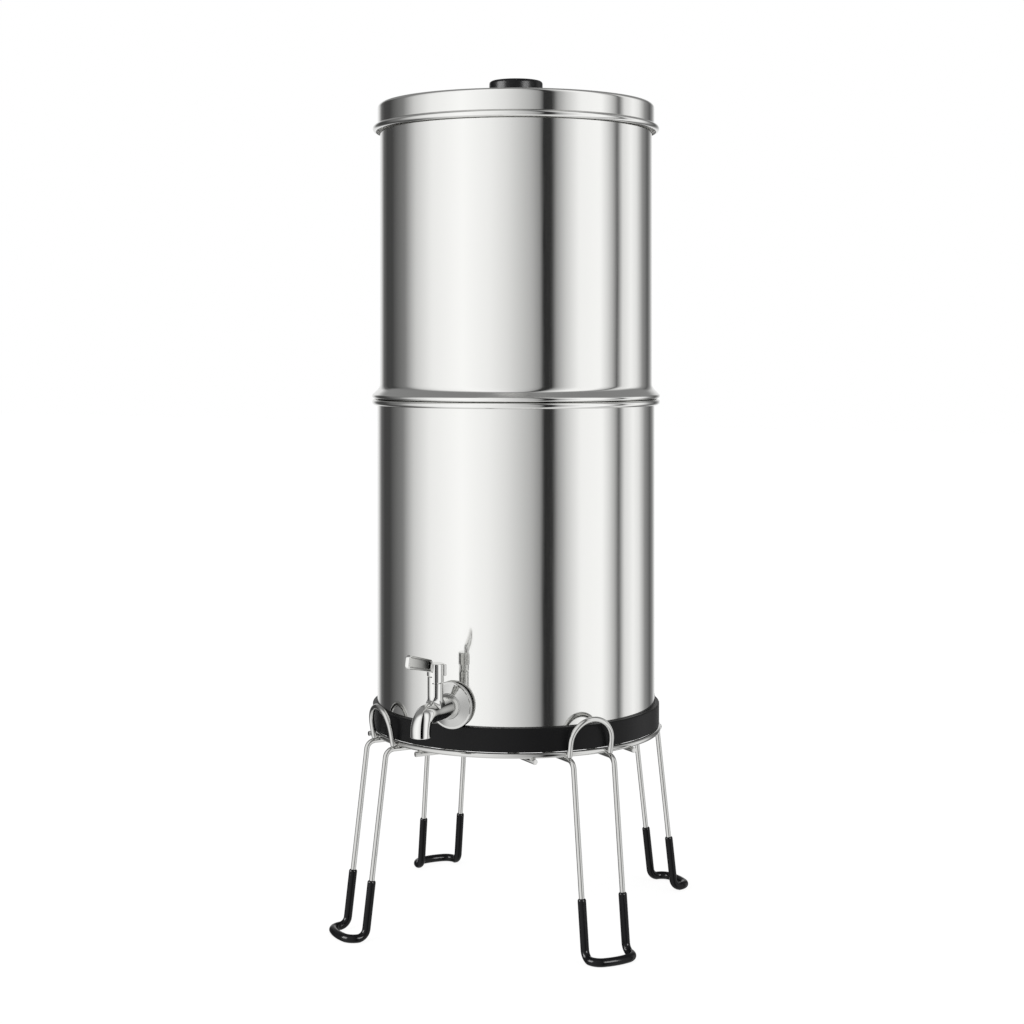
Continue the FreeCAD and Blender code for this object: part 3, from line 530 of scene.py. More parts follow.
SHEET_STEEL = polished_sheet()
WIRE_STEEL = polished_solid("electropolished_steel_wire", "#C6C6C4", 0.06, 900)
TAP_STEEL = polished_solid("polished_cast_stainless", "#DCDCDA", 0.045, 700)
FLANGE_STEEL = polished_solid("turned_stainless_flange", "#C2C2C0", 0.10, 700)
SCREW_STEEL = polished_solid("plain_stainless_screw", "#B9B9B7", 0.28, 1200)
BAND_SILICONE = moulded("satin_silicone_band", "#0A0A0B", "#0F0F10", 0.42, 2500, 0.10, 0.16)
SEAL_RUBBER = moulded("matt_seal_rubber", "#1B1B1D", "#232326", 0.60, 2500, 0.15)
FOOT_VINYL = moulded("dipped_vinyl_foot", "#050506", "#080809", 0.16, 600, 0.10, 0.14)
KNOB_PHENOLIC = moulded("moulded_phenolic_knob", "#050506", "#080809", 0.27, 1500, 0.04, 0.14)
CARBON_BLOCK = moulded("pressed_carbon_block", "#1D1D1E", "#333335", 0.85, 900, 0.8)
FILTER_PLASTIC = moulded("moulded_polypropylene", "#1A1A1C", "#222224", 0.42, 1500, 0.1)
NUT_NYLON = moulded("moulded_nylon_nut", "#D9D6CC", "#E2DFD6", 0.45, 1200, 0.08)


def piece(thing, material, body, slot, *nodes):
    """Finish a piece: its material, the body that it rides on and the nodes that it stands
    for."""
    thing.data.materials.clear()
    thing.data.materials.append(material)
    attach(thing, body)
    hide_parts(*nodes)
    return thing


# Stand


def strut_reach(height):
    return STRUT_TOP_REACH + (RING_HEIGHT - height) * math.tan(math.radians(STRUT_SPLAY))


def half_leg(side):
    """Corners of half a leg from its free end under the ring to the foot's side."""
    foot = COAT / 2
    strut, back = side * STRUT_OFFSET, side * RETURN_OFFSET
    return [
        (back, -RETURN_REACH, BAR_HEIGHT),
        (back, -LOOP_REACH, BAR_HEIGHT),
        (strut, -LOOP_REACH, BAR_HEIGHT),
        (strut, -strut_reach(BAR_HEIGHT), BAR_HEIGHT),
        (strut, -strut_reach(foot), foot),
        (strut, -(FOOT_REACH - FOOT_BULGE), foot),
    ]


def half_coat(side):
    """Corners of half a leg's coated length, from the coat's top down the strut."""
    return [(side * STRUT_OFFSET, -strut_reach(COAT_TOP), COAT_TOP)] + half_leg(side)[4:]


def leg_line(half, radii):
    """A path along a leg: one half of it, the foot's tip and the other half."""
    tip = (0, -FOOT_REACH, COAT / 2)
    return rounded([*half(-1), tip, *half(1)[::-1]], [*radii, FOOT_CROWN, *radii[::-1]],
                   steps=14)


def wire_rod(name, path):
    """A length of wire, cut flat, with a small rounded edge at both ends."""
    edge = 0.4
    bow = np.linspace(0, math.pi / 2, 5)
    rows = np.stack([edge - edge * np.sin(bow), WIRE / 2 - edge + edge * np.cos(bow)], axis=1)
    return rod(name, path, WIRE / 2, rows[::-1][:-1], rows, segments=24)


def dipped_coat(name, path):
    """The coat's outer skin, a little fatter than the wire. At each end the dip draws in to
    the wire as a quarter round."""
    bow = np.linspace(0, math.pi / 2, 7)
    bare = WIRE / 2 - COAT_SINK
    rows = np.stack([COAT_LIP * (1 - np.cos(bow)), bare + (COAT / 2 - bare) * np.sin(bow)],
                    axis=1)
    return rod(name, path, COAT / 2, rows, rows[::-1], segments=32)


def arch_path():
    """An inverted U standing on the ring's outer side, leaning outwards from its feet."""
    touch = RING_RADIUS + WIRE - WELD_BITE
    lean = math.radians(ARCH_LEAN)
    reach = math.sqrt(touch ** 2 - STRUT_OFFSET ** 2)
    reach -= (WIRE / 2 - ARCH_GAP) * math.tan(lean)
    foot = RING_HEIGHT - WIRE / 2 + ARCH_GAP
    spring = ARCH_HEIGHT - STRUT_OFFSET
    bow = np.linspace(0, math.pi, 33)
    across = np.concatenate([[STRUT_OFFSET] * 3, STRUT_OFFSET * np.cos(bow),
                             [-STRUT_OFFSET] * 3])
    along = np.concatenate([[0, 1, spring - 1], spring + STRUT_OFFSET * np.sin(bow),
                            [spring - 1, 1, 0]])
    return np.stack([across, -(reach + along * math.sin(lean)),
                     foot + along * math.cos(lean)], axis=1)


def weld_bead(about, offset, radius, level, length, width):
    """A small weld on a circle about the vessel's axis, offset from a leg's middle: a grain of
    metal, longer than wide, that lies along the circle. Its radius is width times the root of
    one minus u squared, and ripples."""
    reach = math.sqrt(radius ** 2 - offset ** 2)
    centre = turned(np.array([offset, -reach, level]), about)
    along = turned(np.array([reach, offset, 0.0]), about)
    along /= np.linalg.norm(along)
    across = np.cross(along, (0.0, 0.0, 1.0))
    across /= np.linalg.norm(across)
    u = np.linspace(-1, 1, 25)
    swell = width * np.sqrt(np.maximum(1 - u ** 2, 0)) * (1 + 0.07 * np.sin(u * 14))
    spine = centre + along * (u * length)[:, None]
    side, up = across + 0 * spine, np.cross(along, across) + 0 * spine
    return surface("weld", swept(spine, side, up, swell, 16), sharp=80.0)


def make_stand():
    around = turns(32)
    wire = np.stack([RING_RADIUS + WIRE / 2 * np.cos(around),
                     RING_HEIGHT + WIRE / 2 * np.sin(around)], axis=1)
    ring = surface("ring_wire", np.stack(revolved(wire, 256), axis=2), close_rows=True)
    piece(ring, WIRE_STEEL, "stand", "stainless_wire", "stand_ring")
    loop = (RETURN_OFFSET - STRUT_OFFSET) / 2
    leg = leg_line(half_leg, [0, loop, loop, SHOULDER_BEND, FOOT_BEND, FOOT_CORNER])
    coat = leg_line(half_coat, [0, FOOT_BEND, FOOT_CORNER])
    arch = arch_path()
    for i, corner in enumerate(CORNERS):
        about = LEG_TURN + 90 * i
        welds = [weld_bead(about, offset, RING_RADIUS, BAR_HEIGHT + WIRE / 2,
                           length=2.6, width=1.1)
                 for offset in (-RETURN_OFFSET, -STRUT_OFFSET, STRUT_OFFSET, RETURN_OFFSET)]
        bent = wire_rod("leg_rod", turned(leg, about))
        piece(join("leg_wire_" + corner, [bent] + welds), WIRE_STEEL, "stand",
              "stainless_wire", "leg_" + corner)
        skin = dipped_coat("foot_dip_" + corner, turned(coat, about))
        piece(skin, FOOT_VINYL, "stand", "dipped_vinyl", "foot_coat_" + corner)
        hoop = wire_rod("arch_rod", turned(arch, about))
        beads = [weld_bead(about, offset, RING_RADIUS + WIRE / 2,
                           RING_HEIGHT - ARCH_WELD_DROP, length=2.0, width=1.0)
                 for offset in (-STRUT_OFFSET, STRUT_OFFSET)]
        piece(join("arch_wire_" + corner, [hoop] + beads), WIRE_STEEL, "stand",
              "stainless_wire", "arch_" + corner)


# Chambers and lid


def curl(centre, middle, radius, bow):
    """Points of an outline along an arc about (centre, middle)."""
    return [(centre + radius * math.cos(a), middle + radius * math.sin(a), 0) for a in bow]


def vessel(name, radius, floor, rim_radius, rim_top, bead=((), ())):
    """A drawn vessel as one turned outline: outside up to the curled rim, then back down the
    inside. Each entry is (radius, height, corner radius)."""
    inner = radius - SHEET
    centre, middle = rim_radius - RIM_CURL, rim_top - RIM_CURL
    bow = np.linspace(-math.pi / 2, math.pi / 2, 21)
    outline = np.array([
        (0, floor, 0), (radius, floor, BASE_CORNER), *bead[0],
        (radius, rim_top - SHEET, RIM_TURN),
        *curl(centre, middle, RIM_CURL - SHEET, bow[::-1]),
        *curl(centre, middle, RIM_CURL, bow), (inner, rim_top, RIM_TURN + SHEET), *bead[1],
        (inner, floor + SHEET, BASE_CORNER - SHEET), (0, floor + SHEET, 0),
    ])
    return lathe(name, outline[:, :2], outline[:, 2])


def seat_bead():
    """The hollow bead round the upper chamber, outside going up and inside coming down."""
    seat = LOWER_RIM_HEIGHT + REST_GAP
    edge, middle = BEAD_RADIUS - BEAD_CURL, seat + BEAD_CURL
    inner = UPPER_RADIUS - SHEET
    bow = np.linspace(-math.pi / 2, math.pi / 2 * BEAD_SWEEP, 17)
    outside = [(UPPER_RADIUS, seat, 0.5), *curl(edge, middle, BEAD_CURL, bow),
               (UPPER_RADIUS, BEAD_TOP - 0.4, BEAD_FILLET)]
    inside = [(inner, BEAD_TOP - SHEET / 2, 1.0),
              *curl(edge, middle, BEAD_CURL - SHEET, bow[::-1]), (inner, seat + SHEET, 0.4)]
    return outside, inside


def make_chambers():
    floor = BAND_FOOT + BAND_FLOOR + SNUG
    lower = vessel("lower_wall", LOWER_RADIUS, floor, LOWER_RIM_RADIUS, LOWER_RIM_HEIGHT)
    piece(lower, SHEET_STEEL, "lower", "polished_stainless", "lower_chamber")
    inside, outside = LOWER_RADIUS + SNUG, LOWER_RADIUS + BAND_WALL
    top = BAND_FOOT + BAND_HEIGHT
    band = lathe("base_band_skin", [
        (inside - BAND_LIP, BAND_FOOT), (outside, BAND_FOOT), (outside, top), (inside, top),
        (inside, floor - SNUG), (inside - BAND_LIP, floor - SNUG),
    ], [0.3, BAND_EDGE, BAND_EDGE, 0.3, BASE_CORNER, 0.3], closed=True)
    piece(band, BAND_SILICONE, "lower", "silicone_rubber", "base_band")
    upper = vessel("upper_wall", UPPER_RADIUS, UPPER_FLOOR, UPPER_RIM_RADIUS,
                   UPPER_RIM_HEIGHT, seat_bead())
    piece(upper, SHEET_STEEL, "upper", "polished_stainless", "upper_chamber")


def make_lid():
    seat = UPPER_RIM_HEIGHT + REST_GAP
    neck_foot = seat - LID_NECK_DEPTH
    bore = KNOB_THREAD + SNUG
    lid = lathe("lid_skin", [
        (bore, LID_TOP), (LID_RADIUS, LID_TOP), (LID_RADIUS, seat), (LID_NECK_RADIUS, seat),
        (LID_NECK_RADIUS, neck_foot), (LID_NECK_RADIUS - SHEET, neck_foot),
        (LID_NECK_RADIUS - SHEET, seat + SHEET), (LID_RADIUS - SHEET, seat + SHEET),
        (LID_RADIUS - SHEET, LID_TOP - SHEET), (bore, LID_TOP - SHEET),
    ], [0, LID_CORNER, 0.5, 0.4, 0.25, 0.25, 0.7, 0.3, LID_CORNER - SHEET, 0], closed=True)
    piece(lid, SHEET_STEEL, "lid", "polished_stainless", "lid")
    top = LID_TOP + KNOB_HEIGHT
    under = top - KNOB_CAP
    thread_end = LID_TOP + KNOB_THREAD_DEPTH
    knob = lathe("knob_skin", [
        (0, thread_end), (KNOB_THREAD, thread_end), (KNOB_THREAD, LID_TOP),
        (KNOB_FOOT, LID_TOP), (KNOB_NECK, LID_TOP + KNOB_FOOT_HEIGHT), (KNOB_NECK, under),
        (KNOB_RADIUS, under), (KNOB_RADIUS, top), (0, top),
    ], [0, 0.2, 0.2, 0.4, KNOB_EDGE, KNOB_EDGE, KNOB_EDGE, KNOB_CROWN, 0], segments=96)
    piece(knob, KNOB_PHENOLIC, "lid", "knob_plastic", "lid_knob")


# Tap


def outward_lathe(name, outline, radii):
    """A piece turned about the tap's own axis: the outline is (radius, reach from the
    chamber's axis), and the turned point (r cos t, -reach, height + r sin t)."""
    x, z, reach = revolved(rounded(outline, radii, support=0.2, closed=True), 96)
    return surface(name, np.stack([x, -reach, TAP_HEIGHT + z], axis=2), close_rows=True)


def sector(turn, start, sweep):
    """Whether each angle lies in the sector that runs on from start, in degrees."""
    gap = np.abs((np.degrees(turn) - (start + sweep / 2) + 180) % 360 - 180)
    return gap < sweep / 2


def pipe_path():
    """The pipe's middle line from its inner end to the spout's tip, with points close together
    where the outside steps, even ones along the swell, and the spout's bend."""
    back = LOWER_RADIUS - SHANK_LENGTH
    bend = SPOUT_REACH - SPOUT_BEND
    path = rounded([(0, -back, TAP_HEIGHT), (0, -SPOUT_REACH, TAP_HEIGHT),
                    (0, -SPOUT_REACH, SPOUT_TIP)], [0, SPOUT_BEND, 0], steps=24, support=0.3)
    reach = np.concatenate([[back, SHANK_END, SHANK_END + 0.1, SHOULDER_REACH - 0.02,
                             SHOULDER_REACH],
                            np.linspace(SHOULDER_REACH + 0.3, bend - 0.6, 16)])
    straight = np.stack([0 * reach, -reach, TAP_HEIGHT + 0 * reach], axis=1)
    return np.concatenate([straight, path[-path[:, 1] > bend - 0.35]])


def tap_pipe():
    """The pipe as one skin: along its path on the outside, round the spout's lip and back up
    the inside. The outside is narrow on the shank, which goes through the wall, and swells
    from the spout towards the flange. The bore is narrow up to the valve."""
    path = pipe_path()
    ahead, side, up = frames_along(path)
    flow = -path[:, 1]
    swell = np.clip((SWELL_END - flow) / (SWELL_END - SHOULDER_REACH), 0, 1)
    outer = PIPE_RADIUS + SHOULDER_SWELL * swell ** 1.6
    outer[flow < SHOULDER_REACH - 0.01] = PIPE_RADIUS
    outer[flow < SHANK_END + 0.05] = SHANK_RADIUS
    outer[flow == SHOULDER_REACH] -= 0.25
    lip = np.linspace(0, math.pi, 9)
    wall = (PIPE_RADIUS - PIPE_BORE) / 2
    lip_centre = path[-1] + ahead[-1] * (wall * 0.7 * (np.sin(lip) - 1))[:, None]
    widened = np.clip((flow[::-1][1:] - BORE_SPREAD) / BORE_SPREAD_LENGTH, 0, 1)
    centre = np.concatenate([path[:-1], lip_centre, path[::-1][1:]])
    radii = np.concatenate([outer[:-1], PIPE_RADIUS - wall + wall * np.cos(lip),
                            INLET_BORE + (PIPE_BORE - INLET_BORE) * widened])
    side, up = (np.concatenate([v[:-1], np.repeat(v[-1:], len(lip), 0), v[::-1][1:]])
                for v in (side, up))
    return surface("tap_pipe", pointed(swept(centre, side, up, radii, 48)))


def tap_column():
    """The upright column with a swept root. For each direction t round it, the root is a curve
    from the column's wall to the pipe's surface, tangent to both: further out along the pipe
    than across it. The top has a raised sector that stops the lever."""
    turn = turns(144)
    spread = ROOT_SPREAD + ROOT_STRETCH * np.sin(turn) ** 2
    foot_radius = COLUMN_RADIUS + spread
    edge = PIPE_RADIUS - 0.25
    x, y = np.clip(foot_radius * np.cos(turn), -edge, edge), foot_radius * np.sin(turn)
    rise = np.sqrt(PIPE_RADIUS ** 2 - x ** 2)
    end = np.stack([x, y, TAP_HEIGHT + rise], axis=1)
    wall_foot = np.sqrt(PIPE_RADIUS ** 2 - (COLUMN_RADIUS * np.cos(turn)) ** 2)
    start_level = TAP_HEIGHT + wall_foot + ROOT_RISE + spread * 0.6
    start = rings_at(turn, [(COLUMN_RADIUS, start_level)])[0]
    # The control point lies straight below the start and on the pipe's tangent plane.
    control = start.copy()
    control[:, 2] = end[:, 2] - x / rise * (start[:, 0] - x)
    u = np.linspace(0, 1, 15)[:, None, None]
    root = (1 - u) ** 2 * end + 2 * u * (1 - u) * control + u ** 2 * start
    # The skin ends a little inside the pipe.
    hidden = end * (0.9, 0.9, 1.0) - (0.0, 0.0, 2.5)
    raised = sector(turn, STOP_START - 90 - STOP_SWEEP, STOP_SWEEP)
    top = COLUMN_TOP + STOP_HEIGHT * raised
    rings = rings_at(turn, [
        (COLUMN_RADIUS, top - COLUMN_EDGE - 0.4), (COLUMN_RADIUS, top - COLUMN_EDGE),
        (COLUMN_RADIUS - COLUMN_EDGE * 0.3, top - COLUMN_EDGE * 0.3),
        (COLUMN_RADIUS - COLUMN_EDGE, top), (VALVE_BORE, top),
        (VALVE_BORE, TAP_HEIGHT + VALVE_FLOOR),
    ])
    grid = np.concatenate([hidden[None], root, rings]) + COLUMN_AXIS
    return surface("tap_column", grid, close_rows=True, sharp=40.0)


def blade_outline(inset):
    """The blade's outline, drawn in by inset: a bar from root to tip with rounded corners
    whose half height grows evenly from root to tip. Points are (along, up)."""
    start, end = BLADE_START + inset, BLADE_END - inset
    root, tip = BLADE_ROOT / 2 - inset, BLADE_TIP / 2 - inset
    corner = max(BLADE_CORNER - inset, 0.4)
    # Every outline needs as many points as the next, so none of them gets support points.
    return rounded([(start, -root), (end, -tip), (end, tip), (start, root)], [corner] * 4,
                   steps=20, support=1000.0, closed=True)


def lever_blade():
    """The blade as rings of outline from the middle of one sunk panel, over its border and
    edge, to the middle of the other: each ring is the outline drawn in by some amount at some
    depth across the blade. A groove runs round the panel."""
    half = BLADE_THICKNESS / 2
    sunk = half - PANEL_DEPTH
    groove = sunk - GROOVE_DEPTH
    layers = [(3.9, sunk), (2.7, sunk), (PANEL_BORDER + 0.8, sunk),
              (PANEL_BORDER + 0.6, groove), (PANEL_BORDER + 0.35, groove),
              (PANEL_BORDER + 0.2, sunk), (PANEL_BORDER + 0.1, half - 0.12),
              (PANEL_BORDER - 0.1, half), (0.75, half), (0.45, half - 0.06),
              (0.2, half - 0.22), (0.05, half - 0.5), (0.0, half - 0.8)]
    layers += [(inset, -depth) for inset, depth in layers[::-1]]
    rise = math.radians(BLADE_RISE)
    base = BLADE_LEVEL - BLADE_START * math.tan(rise)
    rows = []
    for inset, depth in layers:
        along, up = blade_outline(inset).T
        rows.append(np.stack([0 * along + depth,
                              up * math.sin(rise) - along * math.cos(rise),
                              base + along * math.sin(rise) + up * math.cos(rise)], axis=1))
    return surface("lever_blade", pointed(np.array(rows) + COLUMN_AXIS), sharp=50.0)


def lever_cap():
    """The cap with its skirt: a turned cap whose lower edge drops by the stop's height over
    half a turn. Inside, it is closed above the valve's bore."""
    turn = turns(180)
    skirt = sector(turn, STOP_START + STOP_PLAY - 90, 180 - 2 * STOP_PLAY)
    foot = COLUMN_TOP + CAP_GAP + STOP_HEIGHT * ~skirt
    ceiling = COLUMN_TOP + STOP_HEIGHT + CAP_GAP + 0.1
    bore, crown = VALVE_BORE + SNUG, CAP_TOP - CAP_EDGE
    rings = [(0.0, ceiling), (bore, ceiling), (bore, foot), (CAP_RADIUS - 0.25, foot),
             (CAP_RADIUS - 0.07, foot + 0.07), (CAP_RADIUS, foot + 0.25),
             (CAP_RADIUS, foot + 0.7), (CAP_RADIUS, crown - 0.5)]
    rings += [(CAP_RADIUS - CAP_EDGE + CAP_EDGE * math.cos(a), crown + CAP_EDGE * math.sin(a))
              for a in np.linspace(0, math.pi / 2, 9)]
    rings += [(CAP_RADIUS - CAP_EDGE - 0.5, CAP_TOP), (0.0, CAP_TOP)]
    return surface("lever_cap", rings_at(turn, rings) + COLUMN_AXIS, sharp=40.0)


def lever_neck():
    """The neck between cap and blade: a rounded bar that grows in height from the cap to the
    blade's root and is a little thinner halfway. Each cross-section is a superellipse."""
    rise = math.radians(BLADE_RISE)
    u = np.linspace(0, 1, 13)[:, None]
    ease = u * u * (3 - 2 * u)
    reach = NECK_START + (BLADE_START + NECK_OVERLAP - NECK_START) * u
    level = NECK_LEVEL + (BLADE_LEVEL - NECK_LEVEL + 0.2) * ease
    half_height = 3.1 + 1.0 * ease
    half_width = 1.7 - 0.15 * np.sin(u * math.pi)
    x, z = (np.sign(v) * np.abs(v) ** 0.6 for v in (np.cos(turns(40)), np.sin(turns(40))))
    up = half_height * z
    grid = np.stack([half_width * x, up * math.sin(rise) * u - reach, level + up], axis=2)
    return surface("lever_neck", pointed(grid + COLUMN_AXIS), sharp=50.0)


def lever_lug():
    """A small upright lug on the cap's side, domed at its top, that holds the grub screw."""
    about = math.radians(LUG_TURN - 90)
    middle = np.array([math.cos(about), math.sin(about), 0.0]) * LUG_REACH
    foot = COLUMN_TOP + STOP_HEIGHT + CAP_GAP
    top = CAP_TOP - CAP_EDGE
    rings = [(0.0, foot), (LUG_RADIUS - 0.25, foot), (LUG_RADIUS, foot + 0.25),
             (LUG_RADIUS, foot + 0.6), (LUG_RADIUS, top - 1.0), (LUG_RADIUS, top - 0.5),
             (LUG_RADIUS - 0.15, top - 0.2), (LUG_RADIUS - 0.5, top), (0.0, top)]
    return surface("lever_lug", rings_at(turns(32), rings) + middle + COLUMN_AXIS, sharp=50.0)


def make_tap():
    piece(join("tap_casting", [tap_pipe(), tap_column()]), TAP_STEEL, "lower",
          "tap_stainless", "tap_body")
    face = LOWER_RADIUS + WASHER
    rim = face + FLANGE_RIM
    cone = rim + FLANGE_CONE
    neck = cone + FLANGE_NECK
    shank, pipe = SHANK_RADIUS + SNUG, PIPE_RADIUS + SNUG
    flange = outward_lathe("tap_flange_skin", [
        (shank, face), (FLANGE_RADIUS, face), (FLANGE_RADIUS, rim), (FLANGE_CONE_RADIUS, rim),
        (FLANGE_NECK_RADIUS, cone), (FLANGE_NECK_RADIUS, neck), (pipe, neck),
        (pipe, face + FLANGE_RECESS), (shank, face + FLANGE_RECESS),
    ], [0, 0.9, 0.9, 0.3, 0.8, 0.4, 0.2, 0.2, 0])
    piece(flange, FLANGE_STEEL, "lower", "tap_stainless", "tap_flange")
    parts = [lever_blade(), lever_cap(), lever_neck(), lever_lug()]
    piece(join("lever_handle", parts), TAP_STEEL, "lever", "tap_stainless", "tap_lever")


# Nodes whose plain solids stay


def dress_nodes():
    finishes = {
        "silicone_rubber": SEAL_RUBBER,
        "polished_stainless": SHEET_STEEL,
        "stainless_wire": WIRE_STEEL,
        "tap_stainless": TAP_STEEL,
        "screw_steel": SCREW_STEEL,
        "dipped_vinyl": FOOT_VINYL,
        "knob_plastic": KNOB_PHENOLIC,
        "filter_carbon": CARBON_BLOCK,
        "filter_plastic": FILTER_PLASTIC,
        "nut_nylon": NUT_NYLON,
    }
    for part in frame["record"]["subparts"]:
        thing = frame["nodes"][part["node"]]
        finish = finishes[part["material_slot"]]
        if not thing.material_slots:
            thing.data.materials.append(finish)
        for slot in thing.material_slots:
            slot.material = finish


# Studio

# Brightness round the horizon, seen from the object, in degrees from the camera's side:
# white panels with black flags between them, which draw the dark lines down the steel.
PANELS = [
    (-180, 0.95), (-160, 0.88), (-148, 0.16), (-139, 0.07), (-127, 0.07), (-117, 0.17),
    (-106, 0.27), (-92, 0.80), (-74, 1.14), (-45, 1.30), (-22, 1.16), (-8, 0.98),
    (12, 0.60), (19.5, 0.36), (22.5, 0.03), (30, 0.04), (34, 0.42), (42, 0.80), (54, 1.20),
    (74, 1.26), (82, 0.90), (88, 0.55), (93, 0.11), (100, 0.95), (112, 1.20), (121, 1.00),
    (133, 0.34), (146, 0.12), (154, 0.30), (166, 0.85), (180, 0.95),
]
PANEL_STRENGTH = 1.3

# Shares of the panels' strength
OVERHEAD = 0.22
GROUND = 0.72

SOFT_STRENGTH = 0.75
FLOOR_SIZE = 8.0
FLOOR_GLOW = 1.06
FLOOR_GLOW_SHARE = 0.86

# The flag stands between the camera and the tap; the ball of FLAG_SIGHT about FLAG_CENTRE
# holds what sees it.
FLAG_TURN = 6.0
FLAG_DISTANCE = 0.15
FLAG_WIDTH = 0.050
FLAG_TOP = 1.4
FLAG_SIGHT = 0.034
FLAG_CENTRE = (0.0, -0.150, 0.188)


def bare_tree(data):
    """The emptied node tree of a world or a material."""
    data.use_nodes = True
    data.node_tree.nodes.clear()
    return data.node_tree


def make_world():
    """White to the camera, soft white to matt surfaces, and the panels to polished ones."""
    world = bpy.data.worlds.new("studio")
    bpy.context.scene.world = world
    tree = bare_tree(world)
    out = add(tree, "ShaderNodeOutputWorld")
    way = add(tree, "ShaderNodeTexCoord")
    facing = add(tree, "ShaderNodeVectorRotate",
                 {"Vector": way.outputs["Generated"],
                  "Angle": math.radians(-CAMERA_TURN)}, rotation_type="Z_AXIS")
    split = add(tree, "ShaderNodeSeparateXYZ", {"Vector": facing.outputs["Vector"]})
    x, y, z = (split.outputs[axis] for axis in "XYZ")

    def rising(value, low, high):
        made = add(tree, "ShaderNodeMapRange",
                   {"Value": value, "From Min": low, "From Max": high},
                   interpolation_type="SMOOTHSTEP")
        return made.outputs[0]

    turn = maths(tree, "ARCTAN2", x, maths(tree, "MULTIPLY", y, -1.0))
    share = add(tree, "ShaderNodeMapRange",
                {"Value": turn, "From Min": -math.pi, "From Max": math.pi})
    around = ramp(tree, share.outputs[0],
                  [((a + 180) / 360, b / PANEL_STRENGTH) for a, b in PANELS])
    # Overhead and behind, the studio is dimmer than its panels; the floor is nearly as bright.
    behind = rising(maths(tree, "MULTIPLY_ADD", y, 0.9, z), 0.55, 1.0)
    above = maths(tree, "MULTIPLY", rising(z, 0.25, 0.42), behind)
    grounded = mixed_colour(tree, rising(z, -0.70, -0.95), around, grey(GROUND))
    dimmed = mixed_colour(tree, above, grounded, grey(OVERHEAD))
    panels, soft, white = (
        add(tree, "ShaderNodeBackground", {"Color": shade, "Strength": strength}).outputs[0]
        for shade, strength in ((dimmed, PANEL_STRENGTH), (grey(1.0), SOFT_STRENGTH),
                                (grey(1.0), 1.0)))
    light = add(tree, "ShaderNodeLightPath")
    lit = mixed_shader(tree, light.outputs["Is Glossy Ray"], soft, panels)
    seen = mixed_shader(tree, light.outputs["Is Camera Ray"], lit, white)
    tree.links.new(seen, out.inputs["Surface"])


def studio_sheet(name, corners, finish):
    """A single quad with a bare material: the object, the material's tree and the input that
    takes its shader."""
    mesh = bpy.data.meshes.new(name)
    mesh.from_pydata(corners, [], [(0, 1, 2, 3)])
    material = bpy.data.materials.new(finish)
    mesh.materials.append(material)
    tree = bare_tree(material)
    out = add(tree, "ShaderNodeOutputMaterial")
    return placed(name, mesh), tree, out.inputs["Surface"]


def make_floor():
    """A wide white floor. To the camera it is mostly its own white, so only the faint contact
    shadow of the feet shows; polished surfaces see the studio in its place."""
    size = FLOOR_SIZE
    floor, tree, out = studio_sheet(
        "floor", [(-size, -size, 0), (size, -size, 0), (size, size, 0), (-size, size, 0)],
        "white_studio_floor")
    paint = add(tree, "ShaderNodeBsdfDiffuse", {"Color": grey(0.92)})
    glow = add(tree, "ShaderNodeEmission", {"Color": grey(1.0), "Strength": FLOOR_GLOW})
    light = add(tree, "ShaderNodeLightPath")
    share = maths(tree, "MULTIPLY", light.outputs["Is Camera Ray"], FLOOR_GLOW_SHARE)
    tree.links.new(mixed_shader(tree, share, paint.outputs[0], glow.outputs[0]), out)
    floor.visible_glossy = False


def tap_flag():
    """A black flag in front of the tap that draws the dark line down its column and spout.
    Only reflections that leave from the tap see it: the point that a ray left from is the
    flag's point plus the ray's length back along the ray."""
    bearing = math.radians(CAMERA_TURN + FLAG_TURN)
    away = np.array([math.sin(bearing), -math.cos(bearing), 0.0])
    across = np.array([math.cos(bearing), math.sin(bearing), 0.0])
    middle = COLUMN_AXIS * MM + away * FLAG_DISTANCE
    corners = [tuple(middle + across * side * FLAG_WIDTH / 2 + (0.0, 0.0, level))
               for side, level in ((-1, 0.0), (1, 0.0), (1, FLAG_TOP), (-1, FLAG_TOP))]
    flag, tree, out = studio_sheet("tap_flag", corners, "black_flag_cloth")
    spot = add(tree, "ShaderNodeNewGeometry")
    light = add(tree, "ShaderNodeLightPath")
    back = add(tree, "ShaderNodeVectorMath", {0: spot.outputs["Incoming"]}, operation="SCALE")
    tree.links.new(light.outputs["Ray Length"], back.inputs["Scale"])
    left = add(tree, "ShaderNodeVectorMath",
               {0: spot.outputs["Position"], 1: back.outputs[0]}, operation="ADD")
    apart = add(tree, "ShaderNodeVectorMath", {0: left.outputs[0], 1: FLAG_CENTRE},
                operation="DISTANCE")
    near = maths(tree, "LESS_THAN", apart.outputs["Value"], FLAG_SIGHT)
    clear = add(tree, "ShaderNodeBsdfTransparent")
    black = add(tree, "ShaderNodeEmission", {"Color": grey(0.0), "Strength": 0.0})
    tree.links.new(mixed_shader(tree, near, clear.outputs[0], black.outputs[0]), out)
    flag.visible_camera = False
    flag.visible_diffuse = False
    flag.visible_shadow = False


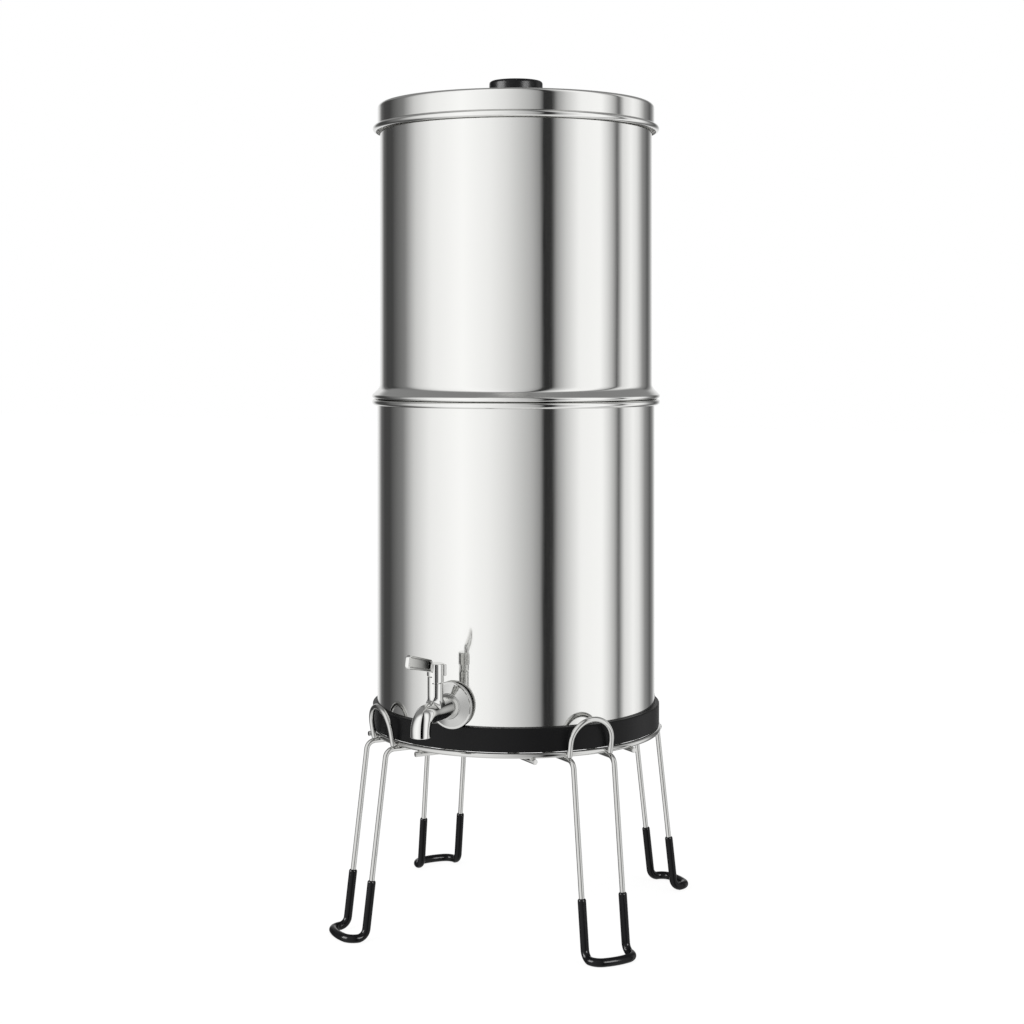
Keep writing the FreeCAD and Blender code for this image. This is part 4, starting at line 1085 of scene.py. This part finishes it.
def area_lamp(name, turn, reach, height, size, power):
    """A soft square lamp at a bearing from the camera's side, aimed at the object."""
    bearing = math.radians(CAMERA_TURN + turn)
    place = np.array([math.sin(bearing) * reach, -math.cos(bearing) * reach, height])
    aim = np.array([0.0, 0.0, 0.32]) - place
    lamp = bpy.data.lights.new(name, "AREA")
    lamp.shape = "SQUARE"
    lamp.size = size
    lamp.energy = power
    thing = placed(name, lamp)
    thing.location = place
    level = math.hypot(aim[0], aim[1])
    thing.rotation_euler = (math.atan2(level, -aim[2]), 0, math.atan2(-aim[0], aim[1]))
    thing.visible_glossy = False
    return thing


def accent_lamp(name, turn, size, power, things):
    """A lamp at the side whose highlight shows on the given pieces only."""
    lamp = area_lamp(name, turn, reach=1.5, height=0.62, size=size, power=power)
    lamp.visible_glossy = True
    chosen = bpy.data.collections.new(name + "_pieces")
    for thing in things:
        chosen.objects.link(thing)
    lamp.light_linking.receiver_collection = chosen


def make_camera():
    data = bpy.data.cameras.new("view")
    data.lens = CAMERA_LENS
    data.sensor_width = CAMERA_SENSOR
    data.shift_x, data.shift_y = CAMERA_SHIFT
    data.clip_start = 0.05
    camera = placed("view", data)
    bearing = math.radians(CAMERA_TURN)
    camera.location = (math.sin(bearing) * CAMERA_DISTANCE * MM,
                       -math.cos(bearing) * CAMERA_DISTANCE * MM, CAMERA_HEIGHT * MM)
    camera.rotation_euler = (math.pi / 2, 0, bearing)
    bpy.context.scene.camera = camera


bpy.context.scene.view_settings.view_transform = "Standard"
make_camera()
make_world()
make_floor()
area_lamp("key_lamp", turn=-45, reach=1.9, height=1.5, size=1.2, power=14)
area_lamp("fill_lamp", turn=60, reach=2.0, height=1.1, size=1.2, power=8)
make_stand()
make_chambers()
make_lid()
make_tap()
dress_nodes()
tap_flag()
dark = [thing for thing in bpy.data.objects
        if thing.type == "MESH" and any(slot.material in (FOOT_VINYL, KNOB_PHENOLIC)
                                        for slot in thing.material_slots)]
accent_lamp("left_accent", turn=-68, size=0.95, power=60, things=dark)
accent_lamp("right_accent", turn=42, size=0.75, power=38, things=dark)
